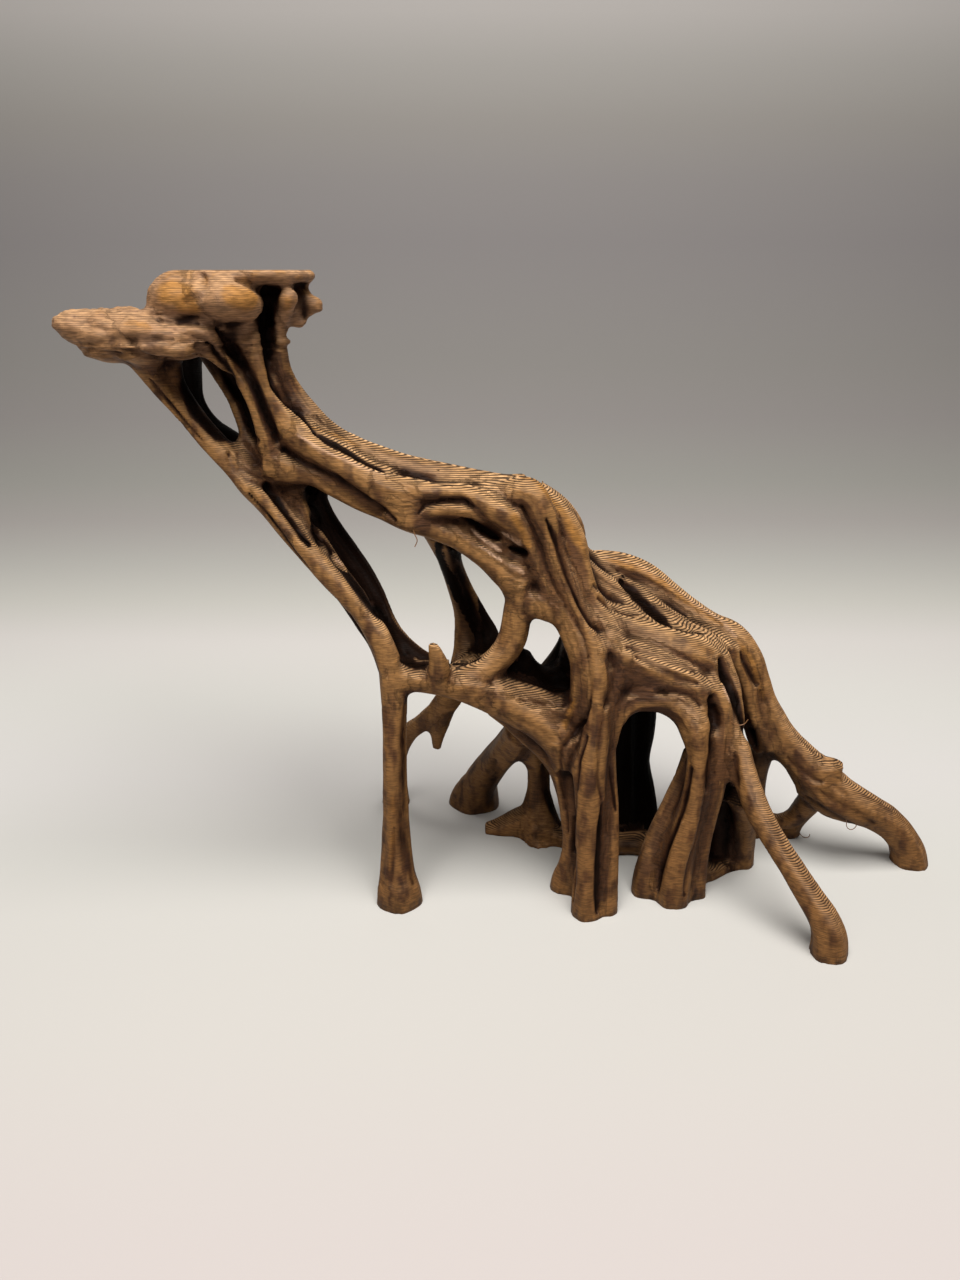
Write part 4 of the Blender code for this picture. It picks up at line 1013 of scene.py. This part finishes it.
    "limb, dark underside": (2.2, 0.4, 0.6, [(84, 27.5), (90, 23.4), (97, 19), (104, 15)]),
    "brace, black stripe": (3.0, 0.6, 0.9, [
        (-26, 107), (-21.8, 97.5), (-19.3, 88.5), (-16, 81), (-15, 76.5),
    ]),
    "link, dark top": (2.4, 0.4, 1.2, [(-40, 73), (-36, 71.5), (-33, 72)]),
    "link, dark top behind the thorn": (2.0, 0.4, 1.3, [(-26, 72), (-21.5, 72), (-17, 74)]),
}

# Patches brushed with yellow ochre, drawn in the same way
OCHRE_PATCHES = {
    "left lobe": (4.5, 0, 1.0, [(-98.5, 175.3), (-92, 174.8)]),
    "under the left lobe": (3.5, 0, 0.8, [(-94.4, 172), (-90, 171.4)]),
    "front lobe": (4.0, 0, 1.0, [(-81.5, 174.4), (-74.5, 173)]),
    "end of the lower ledge": (3.0, 0, 0.6, [(-108, 167), (-102.5, 166)]),
    "top of the right stem": (2.4, 0, 0.5, [(-66, 174.5), (-66.4, 170)]),
    "edge of the hump": (2.2, 0, 0.6, [
        (-5.8, 127), (-1.1, 126.4), (2.8, 120.8), (5.7, 117.5), (9.5, 110.9), (12.8, 104.8),
    ]),
    "left side of the hump": (1.8, 0, 0.6, [(-9, 119), (-5.5, 112), (-3, 107)]),
    "crest of the ridge": (1.8, 0, 0.7, [
        (18.4, 104), (28.1, 101.2), (36.4, 96.2), (44.9, 89.7), (53.4, 84),
    ]),
    "shoulder of the ridge": (2.0, 0, 0.5, [(57.5, 80), (62.9, 72.6), (67.7, 60.3)]),
    "lit edge of the trunk": (1.5, 0, 0.6, [(-63, 141), (-56, 138.5), (-49, 135)]),
    "root by the web": (1.4, 0, 0.7, [(11.3, 60.3), (7.2, 48.7)]),
    "front leg": (1.6, 0, 0.4, [(-44, 30), (-44.5, 12), (-46, 0)]),
    "third leg": (1.6, 0, 0.4, [(47, 40), (46, 30)]),
}

# A groove has a core and a wider shoulder, and narrows towards its ends
SHOULDER = 1.8
CORE_SHARE = 0.6
END_WIDTH = 0.45
TAPER = 3
DAB_STEP = 0.4


def skin_of(mesh):
    """The mesh's faces, ready for rays to be cast at them."""
    body = bmesh.new()
    body.from_mesh(mesh)
    tree = BVHTree.FromBMesh(body)
    body.free()
    return tree


def draw_strokes(mesh, strokes):
    """Lays every stroke on the skin as seen from the front and cuts it; gives the share of colour it leaves:
    stain and painted shade for the grooves, ochre for the ochre patches.
    """
    skin = skin_of(mesh)
    points = positions(mesh)
    out = normals(mesh)
    tree = kd_tree(points)
    mark_share = np.zeros(len(points))
    for half_width, depth, dark, line in strokes.values():
        pieces = list(zip(line, line[1:]))
        lengths = [math.dist(start, end) for start, end in pieces]
        gone = 0
        strength = {}
        for ((x0, z0), (x1, z1)), length in zip(pieces, lengths):
            dabs = max(2, round(length / DAB_STEP))
            for k in range(dabs):
                t = k / dabs
                at = (gone + length * t) / sum(lengths)
                width = half_width * MM * min(1, END_WIDTH + TAPER * min(at, 1 - at))
                aim = sight_point(x0 + (x1 - x0) * t, z0 + (z1 - z0) * t, 0)[0]
                hit = skin.ray_cast(EYE, (aim - EYE).normalized())[0]
                if hit is None:
                    continue
                for _, index, distance in tree.find_range(hit, width * SHOULDER):
                    core = max(0, 1 - (distance / width) ** 2) ** 2
                    shoulder = (1 - (distance / (width * SHOULDER)) ** 2) ** 2
                    value = CORE_SHARE * core + (1 - CORE_SHARE) * shoulder
                    strength[index] = max(strength.get(index, 0), value)
            gone += length
        found = np.array(list(strength), dtype=int)
        value = np.array(list(strength.values()))
        points[found] -= out[found] * (value * depth * MM)[:, None]
        stronger = np.maximum if dark > 0 else np.minimum
        mark_share[found] = stronger(mark_share[found], value * dark)
    move_to(mesh, points)
    return mark_share


stroke_stain_and_shade = draw_strokes(root.data, STROKES)
ochre = draw_strokes(root.data, OCHRE_PATCHES)
rough_points = positions(root.data)


def cut_level(mesh, height, keep_above):
    """Cuts the mesh at a level, keeps one side and closes the cut with flat faces."""
    body = bmesh.new()
    body.from_mesh(mesh)
    bmesh.ops.bisect_plane(
        body, geom=[*body.verts, *body.edges, *body.faces], dist=WELD, plane_co=(0, 0, height),
        plane_no=(0, 0, 1), clear_inner=keep_above, clear_outer=not keep_above,
    )
    rim = [edge for edge in body.edges if edge.is_boundary]
    bmesh.ops.triangle_fill(body, edges=rim, use_beauty=True, normal=(0, 0, -1 if keep_above else 1))
    bmesh.ops.recalc_face_normals(body, faces=body.faces)
    body.to_mesh(mesh)
    body.free()


# Flat feet and a flat top, then fewer faces where the skin is smooth, and the CAD's middle
TRIANGLES = 190000
cut_level(root.data, 0, True)
cut_level(root.data, HEIGHT, False)
thin = root.modifiers.new("thin", "DECIMATE")
thin.ratio = TRIANGLES / (2 * len(root.data.polygons))
thin.use_collapse_triangulate = True
root = plain_copy(root, "root_surface")
points = positions(root.data)
middle = (points.min(0) + points.max(0)) / 2
shift = Vector(((root_low.x + root_high.x) / 2 - middle[0], (root_low.y + root_high.y) / 2 - middle[1], 0))
root.data.transform(Matrix.Translation(shift))
root.data.shade_smooth()
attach(root, "root")
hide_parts("mangrove_root")


def hollowness(mesh, rounds):
    """How far each vertex lies under the mean of its surroundings, in mm; ridges come out below zero."""
    ends, share = neighbour_table(mesh)
    points = positions(mesh)
    mean = points.copy()
    for _ in range(rounds):
        mean = neighbour_mean(mean, ends, share)
    return ((mean - points) * normals(mesh)).sum(1) / MM


SHADE_REACH = 30 * MM
SHADE_START = 0.3
SHADE_ROUNDS = 3


def shadedness(mesh, rays):
    """The share of the sky over each vertex that the root itself blocks, 0 to 1."""
    tree = skin_of(mesh)
    golden = math.pi * (3 - math.sqrt(5))
    directions = []
    for k in range(rays):
        height = (k + 0.5) / rays
        ring = math.sqrt(1 - height)
        turn = golden * k
        directions.append(Vector((ring * math.cos(turn), ring * math.sin(turn), math.sqrt(height))))
    blocked = np.zeros(len(mesh.vertices))
    for index, vertex in enumerate(mesh.vertices):
        turn = vertex.normal.to_track_quat("Z", "Y").to_matrix()
        start = vertex.co + vertex.normal * SHADE_START * MM
        hits = sum(tree.ray_cast(start, turn @ d, SHADE_REACH)[0] is not None for d in directions)
        blocked[index] = hits / rays
    ends, share = neighbour_table(mesh)
    for _ in range(SHADE_ROUNDS):
        blocked = (blocked + neighbour_mean(blocked, ends, share)) / 2
    return blocked


# What the material reads at every vertex
source = nearest(kd_tree(rough_points), positions(root.data) - np.array(shift))
marks = {
    "stroke": stroke_stain_and_shade[source],
    "ochre": ochre[source],
    "strand_dark": strand_dark[source],
    "hollow_fine": hollowness(root.data, rounds=5),
    "hollow_wide": hollowness(root.data, rounds=50),
    "shade": shadedness(root.data, rays=20),
    "up": normals(root.data)[:, 2],
}
for name, values in marks.items():
    attribute = root.data.attributes.new(name, "FLOAT", "POINT")
    attribute.data.foreach_set("value", values.astype(np.float32))
attribute = root.data.attributes.new("straight", "FLOAT_VECTOR", "POINT")
attribute.data.foreach_set("vector", (straight[source] * MM).astype(np.float32).ravel())

# Wood-brown printed plastic, stained dark in its hollows and brushed with ochre on its ridges: dull, with a
# faint sheen on the layer edges. Its colour also carries painted light on tops and crests, and painted shade
# in the shaded insides.
FRACTION = ("ShaderNodeMath", {"operation": "FRACT"})
SIZE_OF = ("ShaderNodeMath", {"operation": "ABSOLUTE"})
LARGER = ("ShaderNodeMath", {"operation": "MAXIMUM"})
RISE = ("ShaderNodeMapRange", {"interpolation_type": "SMOOTHSTEP"})
LAID_OVER = ("ShaderNodeMix", {"data_type": "RGBA", "blend_type": "MIX"})
MULTIPLIED_BY = ("ShaderNodeMix", {"data_type": "RGBA", "blend_type": "MULTIPLY"})
root_material.use_nodes = True
tree = root_material.node_tree
tree.nodes.clear()
place = add_node(tree, "ShaderNodeTexCoord").outputs["Object"]
height = add_node(tree, "ShaderNodeSeparateXYZ", None, {0: place}).outputs[2]
read = {}
for name in marks:
    read[name] = add_node(tree, "ShaderNodeAttribute", {"attribute_name": name}).outputs["Fac"]
straight_place = add_node(tree, "ShaderNodeAttribute", {"attribute_name": "straight"}).outputs["Vector"]

# Patterns of noise: what they lie on, the size of their spots in mm, how far these stretch along x, y
# and z, their detail, and an offset. The dashes are the short marks of the nozzle along each layer.
PATTERNS = (
    (place, 14, (1, 1, 2), 3, (0, 0, 0)),
    (place, 4, (1, 1, 2), 2, (3, 1, 2)),
    (straight_place, 1.5, (1, 1, 12), 3, (2, 7, 1)),
    (straight_place, 2.6, (1, 1, 12), 2, (5, 3, 8)),
    (place, 0.5, (5, 5, 0.8), 1.5, (1, 5, 2)),
    (place, 5, (1, 1, 0.8), 2, (4, 4, 9)),
    (place, 6, (1, 1, 1), 1, (0, 0, 0)),
)
fields = []
for base, size, stretch, detail, offset in PATTERNS:
    scale = [1 / (size * MM * s) for s in stretch]
    laid = add_node(tree, "ShaderNodeMapping", None, {"Vector": base, "Scale": scale, "Location": offset})
    field = add_node(
        tree, "ShaderNodeTexNoise", None, {"Vector": laid.outputs[0], "Scale": 1, "Detail": detail}
    )
    fields.append(field.outputs[0])
broad, spots, streaks, wide_streaks, dashes, patches, wobble = fields

# Colour of the plastic and of the thin brown glaze on it, coat over coat, with painted light on the tops and
# on the pale strokes
plastic = result(tree, LAID_OVER, result(tree, RISE, broad, 0.3, 0.7), "#523522", "#6E4A2B")
dark_streaks = result(tree, TIMES, result(tree, RISE, wide_streaks, 0.45, 0.7), 0.3)
light_streaks = result(tree, TIMES, result(tree, RISE, streaks, 0.5, 0.75), 0.3)
ridges = result(tree, RISE, result(tree, TIMES, read["hollow_wide"], -1), 0.1, 0.9)
brushed = result(tree, TIMES, ridges, result(tree, RISE, spots, 0.3, 0.6))
# Painted light: surfaces that face up are made paler, as lit from above
painted_top_light = result(tree, RISE, read["up"], 0.2, 0.9)
painted_top_light = result(tree, TIMES, painted_top_light, result(tree, RISE, wide_streaks, 0.85, 0.3))
# Strokes below zero are paler: partly paler paint, and partly painted highlight on lit edges and crests
pale_and_lit_strokes = result(tree, RISE, result(tree, TIMES, read["stroke"], -1), 0.1, 0.9)

# The ledges are paler and pinker than the rest, and yellow ochre is brushed on in patches
ledges = result(tree, RISE, height, 0.155, 0.168)
drawn = result(tree, TIMES, read["ochre"], result(tree, TIMES_PLUS, patches, 1.6, 0.2))
scattered = result(tree, RISE, height, 0.168, 0.174)
scattered = result(tree, TIMES, scattered, result(tree, RISE, patches, 0.52, 0.62))
ochred = result(tree, LARGER, result(tree, RISE, drawn, 0.1, 0.8), result(tree, TIMES, scattered, 0.45))
for share, coat in (
    (dark_streaks, "#331C0E"),
    (light_streaks, "#99693A"),
    (result(tree, TIMES, brushed, 0.55), "#BE8C52"),
    (result(tree, TIMES, painted_top_light, 0.9), "#F0BE88"),
    (result(tree, TIMES, pale_and_lit_strokes, result(tree, RISE, streaks, 0.25, 0.6)), "#DDB392"),
    (result(tree, TIMES, ledges, 0.6), "#A47E60"),
    (result(tree, TIMES, ochred, 0.8), "#B07A38"),
):
    plastic = result(tree, LAID_OVER, share, plastic, coat)

# Painted shade: the colour is darkened where the root shades itself, and a little towards the feet, where
# less light reaches
for unshaded, shade_colour in (
    (result(tree, RISE, read["shade"], 0.8, 0.1), "#6E6660"),
    (result(tree, RISE, height, 0.0, 0.11), "#D2CAC4"),
):
    plastic = result(tree, MULTIPLIED_BY, 1.0, plastic, result(tree, LAID_OVER, unshaded, shade_colour, "#FFFFFF"))

# Dark stain and painted shade, with feathered edges: the stain gathers in grooves and hollows, and painted
# shade darkens the deep insides that the root shades, the dark strands and the strokes drawn on shaded sides
feather = result(tree, TIMES_PLUS, streaks, 0.7, result(tree, TIMES, dashes, 0.3))
feather = result(tree, MINUS, feather, 0.5)
uneven = result(tree, TIMES, read["stroke"], result(tree, TIMES_PLUS, spots, 1.1, 0.45))
mark_share = None
for mark, edge, low, high, strength in (
    (uneven, 0.7, -0.05, 1.25, 1.0),
    (read["hollow_fine"], 0.15, 0.04, 0.35, result(tree, TIMES_PLUS, ledges, -0.3, 0.5)),
    (read["hollow_wide"], 0.8, 0.0, 1.4, 0.7),
    (read["shade"], 0.3, 0.34, 0.8, 0.95),
    (read["strand_dark"], 0.6, 0.1, 0.95, 0.96),
):
    gathered = result(tree, RISE, result(tree, TIMES_PLUS, feather, edge, mark), low, high)
    gathered = result(tree, TIMES, gathered, strength)
    mark_share = gathered if mark_share is None else result(tree, LARGER, mark_share, gathered)
colour = result(tree, LAID_OVER, result(tree, RISE, mark_share, 0.0, 0.7), plastic, "#2C160A")
colour = result(tree, LAID_OVER, result(tree, RISE, mark_share, 0.4, 1.05), colour, "#080301")

# Print layers: each a small step, plain to see where the skin lies flat and faint on the walls. Real
# ones are about 0.3 mm high, too fine to show here, so they are drawn as high as they need to be.
LAYER = 0.5 * MM
DASH_HEIGHT = 0.11 * MM
STREAK_HEIGHT = 0.3 * MM
level = result(tree, TIMES_PLUS, wobble, 0.5, result(tree, DIVIDED_BY, height, LAYER))
part = result(tree, FRACTION, level)
flat = result(tree, RISE, read["up"], 0.3, 0.75)
flat = result(tree, TIMES, flat, result(tree, TIMES_PLUS, ledges, -0.75, 1.0))
shown = result(tree, TIMES_PLUS, flat, 0.85, 0.15)
# Painted shade: the colour is darkened along each step's edge, most where the skin lies flat
edge = result(tree, RISE, result(tree, SIZE_OF, result(tree, MINUS, part, 0.5)), 0.12, 0.4)
edge = result(tree, TIMES, result(tree, TIMES, edge, shown), 0.9)
colour = result(tree, LAID_OVER, edge, colour, "#1C0F07")
# The nozzle's dashes also lighten and darken the colour: painted glints and shade on their small ridges
dash_glints_and_shade = result(tree, LAID_OVER, result(tree, RISE, dashes, 0.3, 0.7), "#BEBEBE", "#F7F7F7")
colour = result(tree, MULTIPLIED_BY, 1.0, colour, dash_glints_and_shade)
rise = result(tree, TIMES, result(tree, MINUS, 0.5, part), LAYER)
rise = result(tree, TIMES, rise, shown)
rise = result(tree, TIMES_PLUS, dashes, DASH_HEIGHT, rise)
rise = result(tree, TIMES_PLUS, streaks, STREAK_HEIGHT, rise)
bump = add_node(tree, "ShaderNodeBump", None, {"Strength": 0.9, "Distance": 1.0, "Height": rise})
shader = add_node(
    tree, "ShaderNodeBsdfPrincipled", None,
    {
        "Base Color": colour, "Roughness": 0.6, "Metallic": 0.0, "Normal": bump.outputs[0],
        "Specular IOR Level": result(tree, TIMES_PLUS, mark_share, -0.14, 0.17),
    },
)
tree.links.new(shader.outputs[0], add_node(tree, "ShaderNodeOutputMaterial").inputs[0])
root.data.materials.clear()
root.data.materials.append(root_material)

# Print hairs. Stray threads of the same plastic that the printer's nozzle drew out between two
# strokes: about a quarter of a millimetre thick, fast to the root at one end and never picked off.
# Each is a line of (across, up) points in the front view, from its fast end outwards.
HAIRS = {
    "under the trunk": [(-35.8, 112.9), (-35.2, 111), (-34.6, 109.4), (-35.3, 107.5)],
    "on the third leg": [(58.1, 53.8), (60.2, 52.2), (62.4, 52.3), (63.6, 53.9)],
    "under the limb": [(83.6, 14.6), (85.1, 12.4), (86.8, 12.3), (87.1, 13.8)],
    "under the limb's end": [(97.5, 17.8), (99.4, 15.6), (101.2, 16.6), (100.8, 18.2)],
}
HAIR_SIZES = {"Sides": 6, "Radius": 0.13 * MM}
HAIR_SINK = 0.3 * MM
HAIR_LOWEST = 0.4 * MM
HAIR_STEPS = 6


def thread_tree(sizes):
    """A plain round thread of one thickness along every curve."""
    tree, given, made = new_tree("thread", sizes)
    ring = add_node(
        tree, "GeometryNodeCurvePrimitiveCircle",
        inputs={"Resolution": given["Sides"], "Radius": given["Radius"]},
    )
    thread = add_node(
        tree, "GeometryNodeCurveToMesh",
        inputs={"Curve": given["Geometry"], "Profile Curve": ring.outputs[0], "Fill Caps": True},
    )
    finish_tree(tree, given, made, thread)
    return tree


def hair_knots(skin, points):
    """A hair's places: the first lies under the skin, and the others hang in front of it."""
    aim = sight_point(*points[0], 0)[0] + shift
    fast, out = skin.ray_cast(EYE + shift, (aim - (EYE + shift)).normalized())[:2]
    if fast is None:
        fast, out = skin.find_nearest(aim)[:2]
    depth = (fast.y - shift.y) / MM
    knots = [(fast - out * HAIR_SINK, 1.0)]
    for across, up in points[1:]:
        place = sight_point(across, up, depth)[0] + shift
        place.z = max(place.z, HAIR_LOWEST)
        knots.append((place, 1.0))
    return knots


# Bare brown plastic thread without stain: smooth from the nozzle, with a soft shine
thread_material = bpy.data.materials.new("drawn brown plastic thread")
thread_material.use_nodes = True
thread_shader = thread_material.node_tree.nodes["Principled BSDF"]
thread_shader.inputs["Base Color"].default_value = linear("#7A5330")
thread_shader.inputs["Roughness"].default_value = 0.4
skin = skin_of(root.data)
hair_lines = [hair_knots(skin, points) for points in HAIRS.values()]
hairs = made_by(
    thread_tree(HAIR_SIZES), smooth_curves("hairs", hair_lines, HAIR_STEPS), HAIR_SIZES,
    thread_material, "print_hairs",
)
hairs.data.shade_smooth()
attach(hairs, "root")

# The studio. A sheet of matte paper lies on the floor and sweeps up into a grey backdrop in one curve.
# It is lit softly from above and in front; sizes in metres.
FLOOR_FRONT = -0.9
FLOOR_BACK = 0.34
SWEEP_RADIUS = 0.5
WALL_TOP = 1.6
HALF_WIDTH = 1.6
FLOOR_STEPS = 40
CURVE_STEPS = 48
WALL_STEPS = 10
profile = [(FLOOR_FRONT + (FLOOR_BACK - FLOOR_FRONT) * k / FLOOR_STEPS, 0.0) for k in range(FLOOR_STEPS + 1)]
for k in range(1, CURVE_STEPS + 1):
    angle = math.pi / 2 * k / CURVE_STEPS
    profile.append((FLOOR_BACK + SWEEP_RADIUS * math.sin(angle), SWEEP_RADIUS * (1 - math.cos(angle))))
for k in range(1, WALL_STEPS + 1):
    profile.append((FLOOR_BACK + SWEEP_RADIUS, SWEEP_RADIUS + (WALL_TOP - SWEEP_RADIUS) * k / WALL_STEPS))

# The paper's colour at points along its length, from the front edge (0) to the top (1): painted light and
# shade, darker at the front and where the sweep curves up, paler around the root and up the wall
PAPER_LIGHT_AND_SHADE = [
    (0.0, "#B1AAA8"), (0.244, "#B1AAA8"), (0.262, "#B3B0AC"), (0.289, "#B6B5B1"), (0.306, "#BDBBB9"),
    (0.329, "#C1C0BC"), (0.353, "#C5C2BF"), (0.373, "#BCBBB5"), (0.4, "#B1B0AB"), (0.425, "#A29E9B"),
    (0.447, "#979691"), (0.476, "#908C8A"), (0.501, "#8D8A87"), (0.548, "#8D8989"), (0.569, "#94908F"),
    (0.588, "#9F9B97"), (0.607, "#B0ADA9"), (0.623, "#C3BFBC"), (1.0, "#C3BFBC"),
]
corners = [(x, y, z) for y, z in profile for x in (-HALF_WIDTH, HALF_WIDTH)]
faces = [(2 * k, 2 * k + 1, 2 * k + 3, 2 * k + 2) for k in range(len(profile) - 1)]
sweep_mesh = bpy.data.meshes.new("sweep")
sweep_mesh.from_pydata(corners, [], faces)
sweep_mesh.shade_smooth()
lengths = np.cumsum([0] + [math.dist(a, b) for a, b in zip(profile, profile[1:])])
run_share = sweep_mesh.attributes.new("run", "FLOAT", "POINT")
run_share.data.foreach_set("value", np.repeat(lengths / lengths[-1], 2).astype(np.float32))
sweep = bpy.data.objects.new("sweep", sweep_mesh)
bpy.context.scene.collection.objects.link(sweep)
paper = bpy.data.materials.new("matte paper")
paper.use_nodes = True
run = add_node(paper.node_tree, "ShaderNodeAttribute", {"attribute_name": "run"}).outputs["Fac"]
paper_shading = add_node(paper.node_tree, "ShaderNodeValToRGB", None, {"Fac": run})
ramp = paper_shading.color_ramp
for index, (reach, code) in enumerate(PAPER_LIGHT_AND_SHADE):
    stop = ramp.elements[index] if index < 2 else ramp.elements.new(reach)
    stop.position = reach
    stop.color = linear(code)
paper_shader = paper.node_tree.nodes["Principled BSDF"]
paper.node_tree.links.new(paper_shading.outputs[0], paper_shader.inputs["Base Color"])
paper_shader.inputs["Roughness"].default_value = 0.9
sweep_mesh.materials.append(paper)
sweep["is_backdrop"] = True


def soft_light(name, place, aim, size, power, colour):
    """A square area light that faces a point."""
    data = bpy.data.lights.new(name, "AREA")
    data.shape = "SQUARE"
    data.size = size
    data.energy = power
    data.color = linear(colour)[:3]
    light = bpy.data.objects.new(name, data)
    light.location = place
    light.rotation_euler = (Vector(aim) - Vector(place)).to_track_quat("-Z", "Y").to_euler()
    bpy.context.scene.collection.objects.link(light)


soft_light("overhead", place=(0.0, -0.28, 0.85), aim=(0, 0, 0.05), size=0.6, power=14.5, colour="#FFFCF8")
soft_light("front", place=(-0.45, -0.9, 0.5), aim=(0, 0, 0.08), size=0.5, power=1.2, colour="#FFFAF4")

world = bpy.data.worlds.new("room")
world.use_nodes = True
room_light = world.node_tree.nodes["Background"]
room_light.inputs["Color"].default_value = linear("#F4F2F0")
room_light.inputs["Strength"].default_value = 0.1
scene = bpy.context.scene
scene.world = world
scene.view_settings.view_transform = "Standard"

# The camera stands at the root's viewpoint and looks down by about 21 degrees
LOOK_DOWN = math.radians(21.06)
camera_data = bpy.data.cameras.new("camera")
camera_data.lens = 27.03
camera_data.sensor_width = 36
camera_data.clip_start = 0.01
camera = bpy.data.objects.new("camera", camera_data)
camera.location = EYE + shift
camera.rotation_euler = (math.pi / 2 - LOOK_DOWN, 0, 0)
scene.collection.objects.link(camera)
scene.camera = camera

low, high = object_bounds()
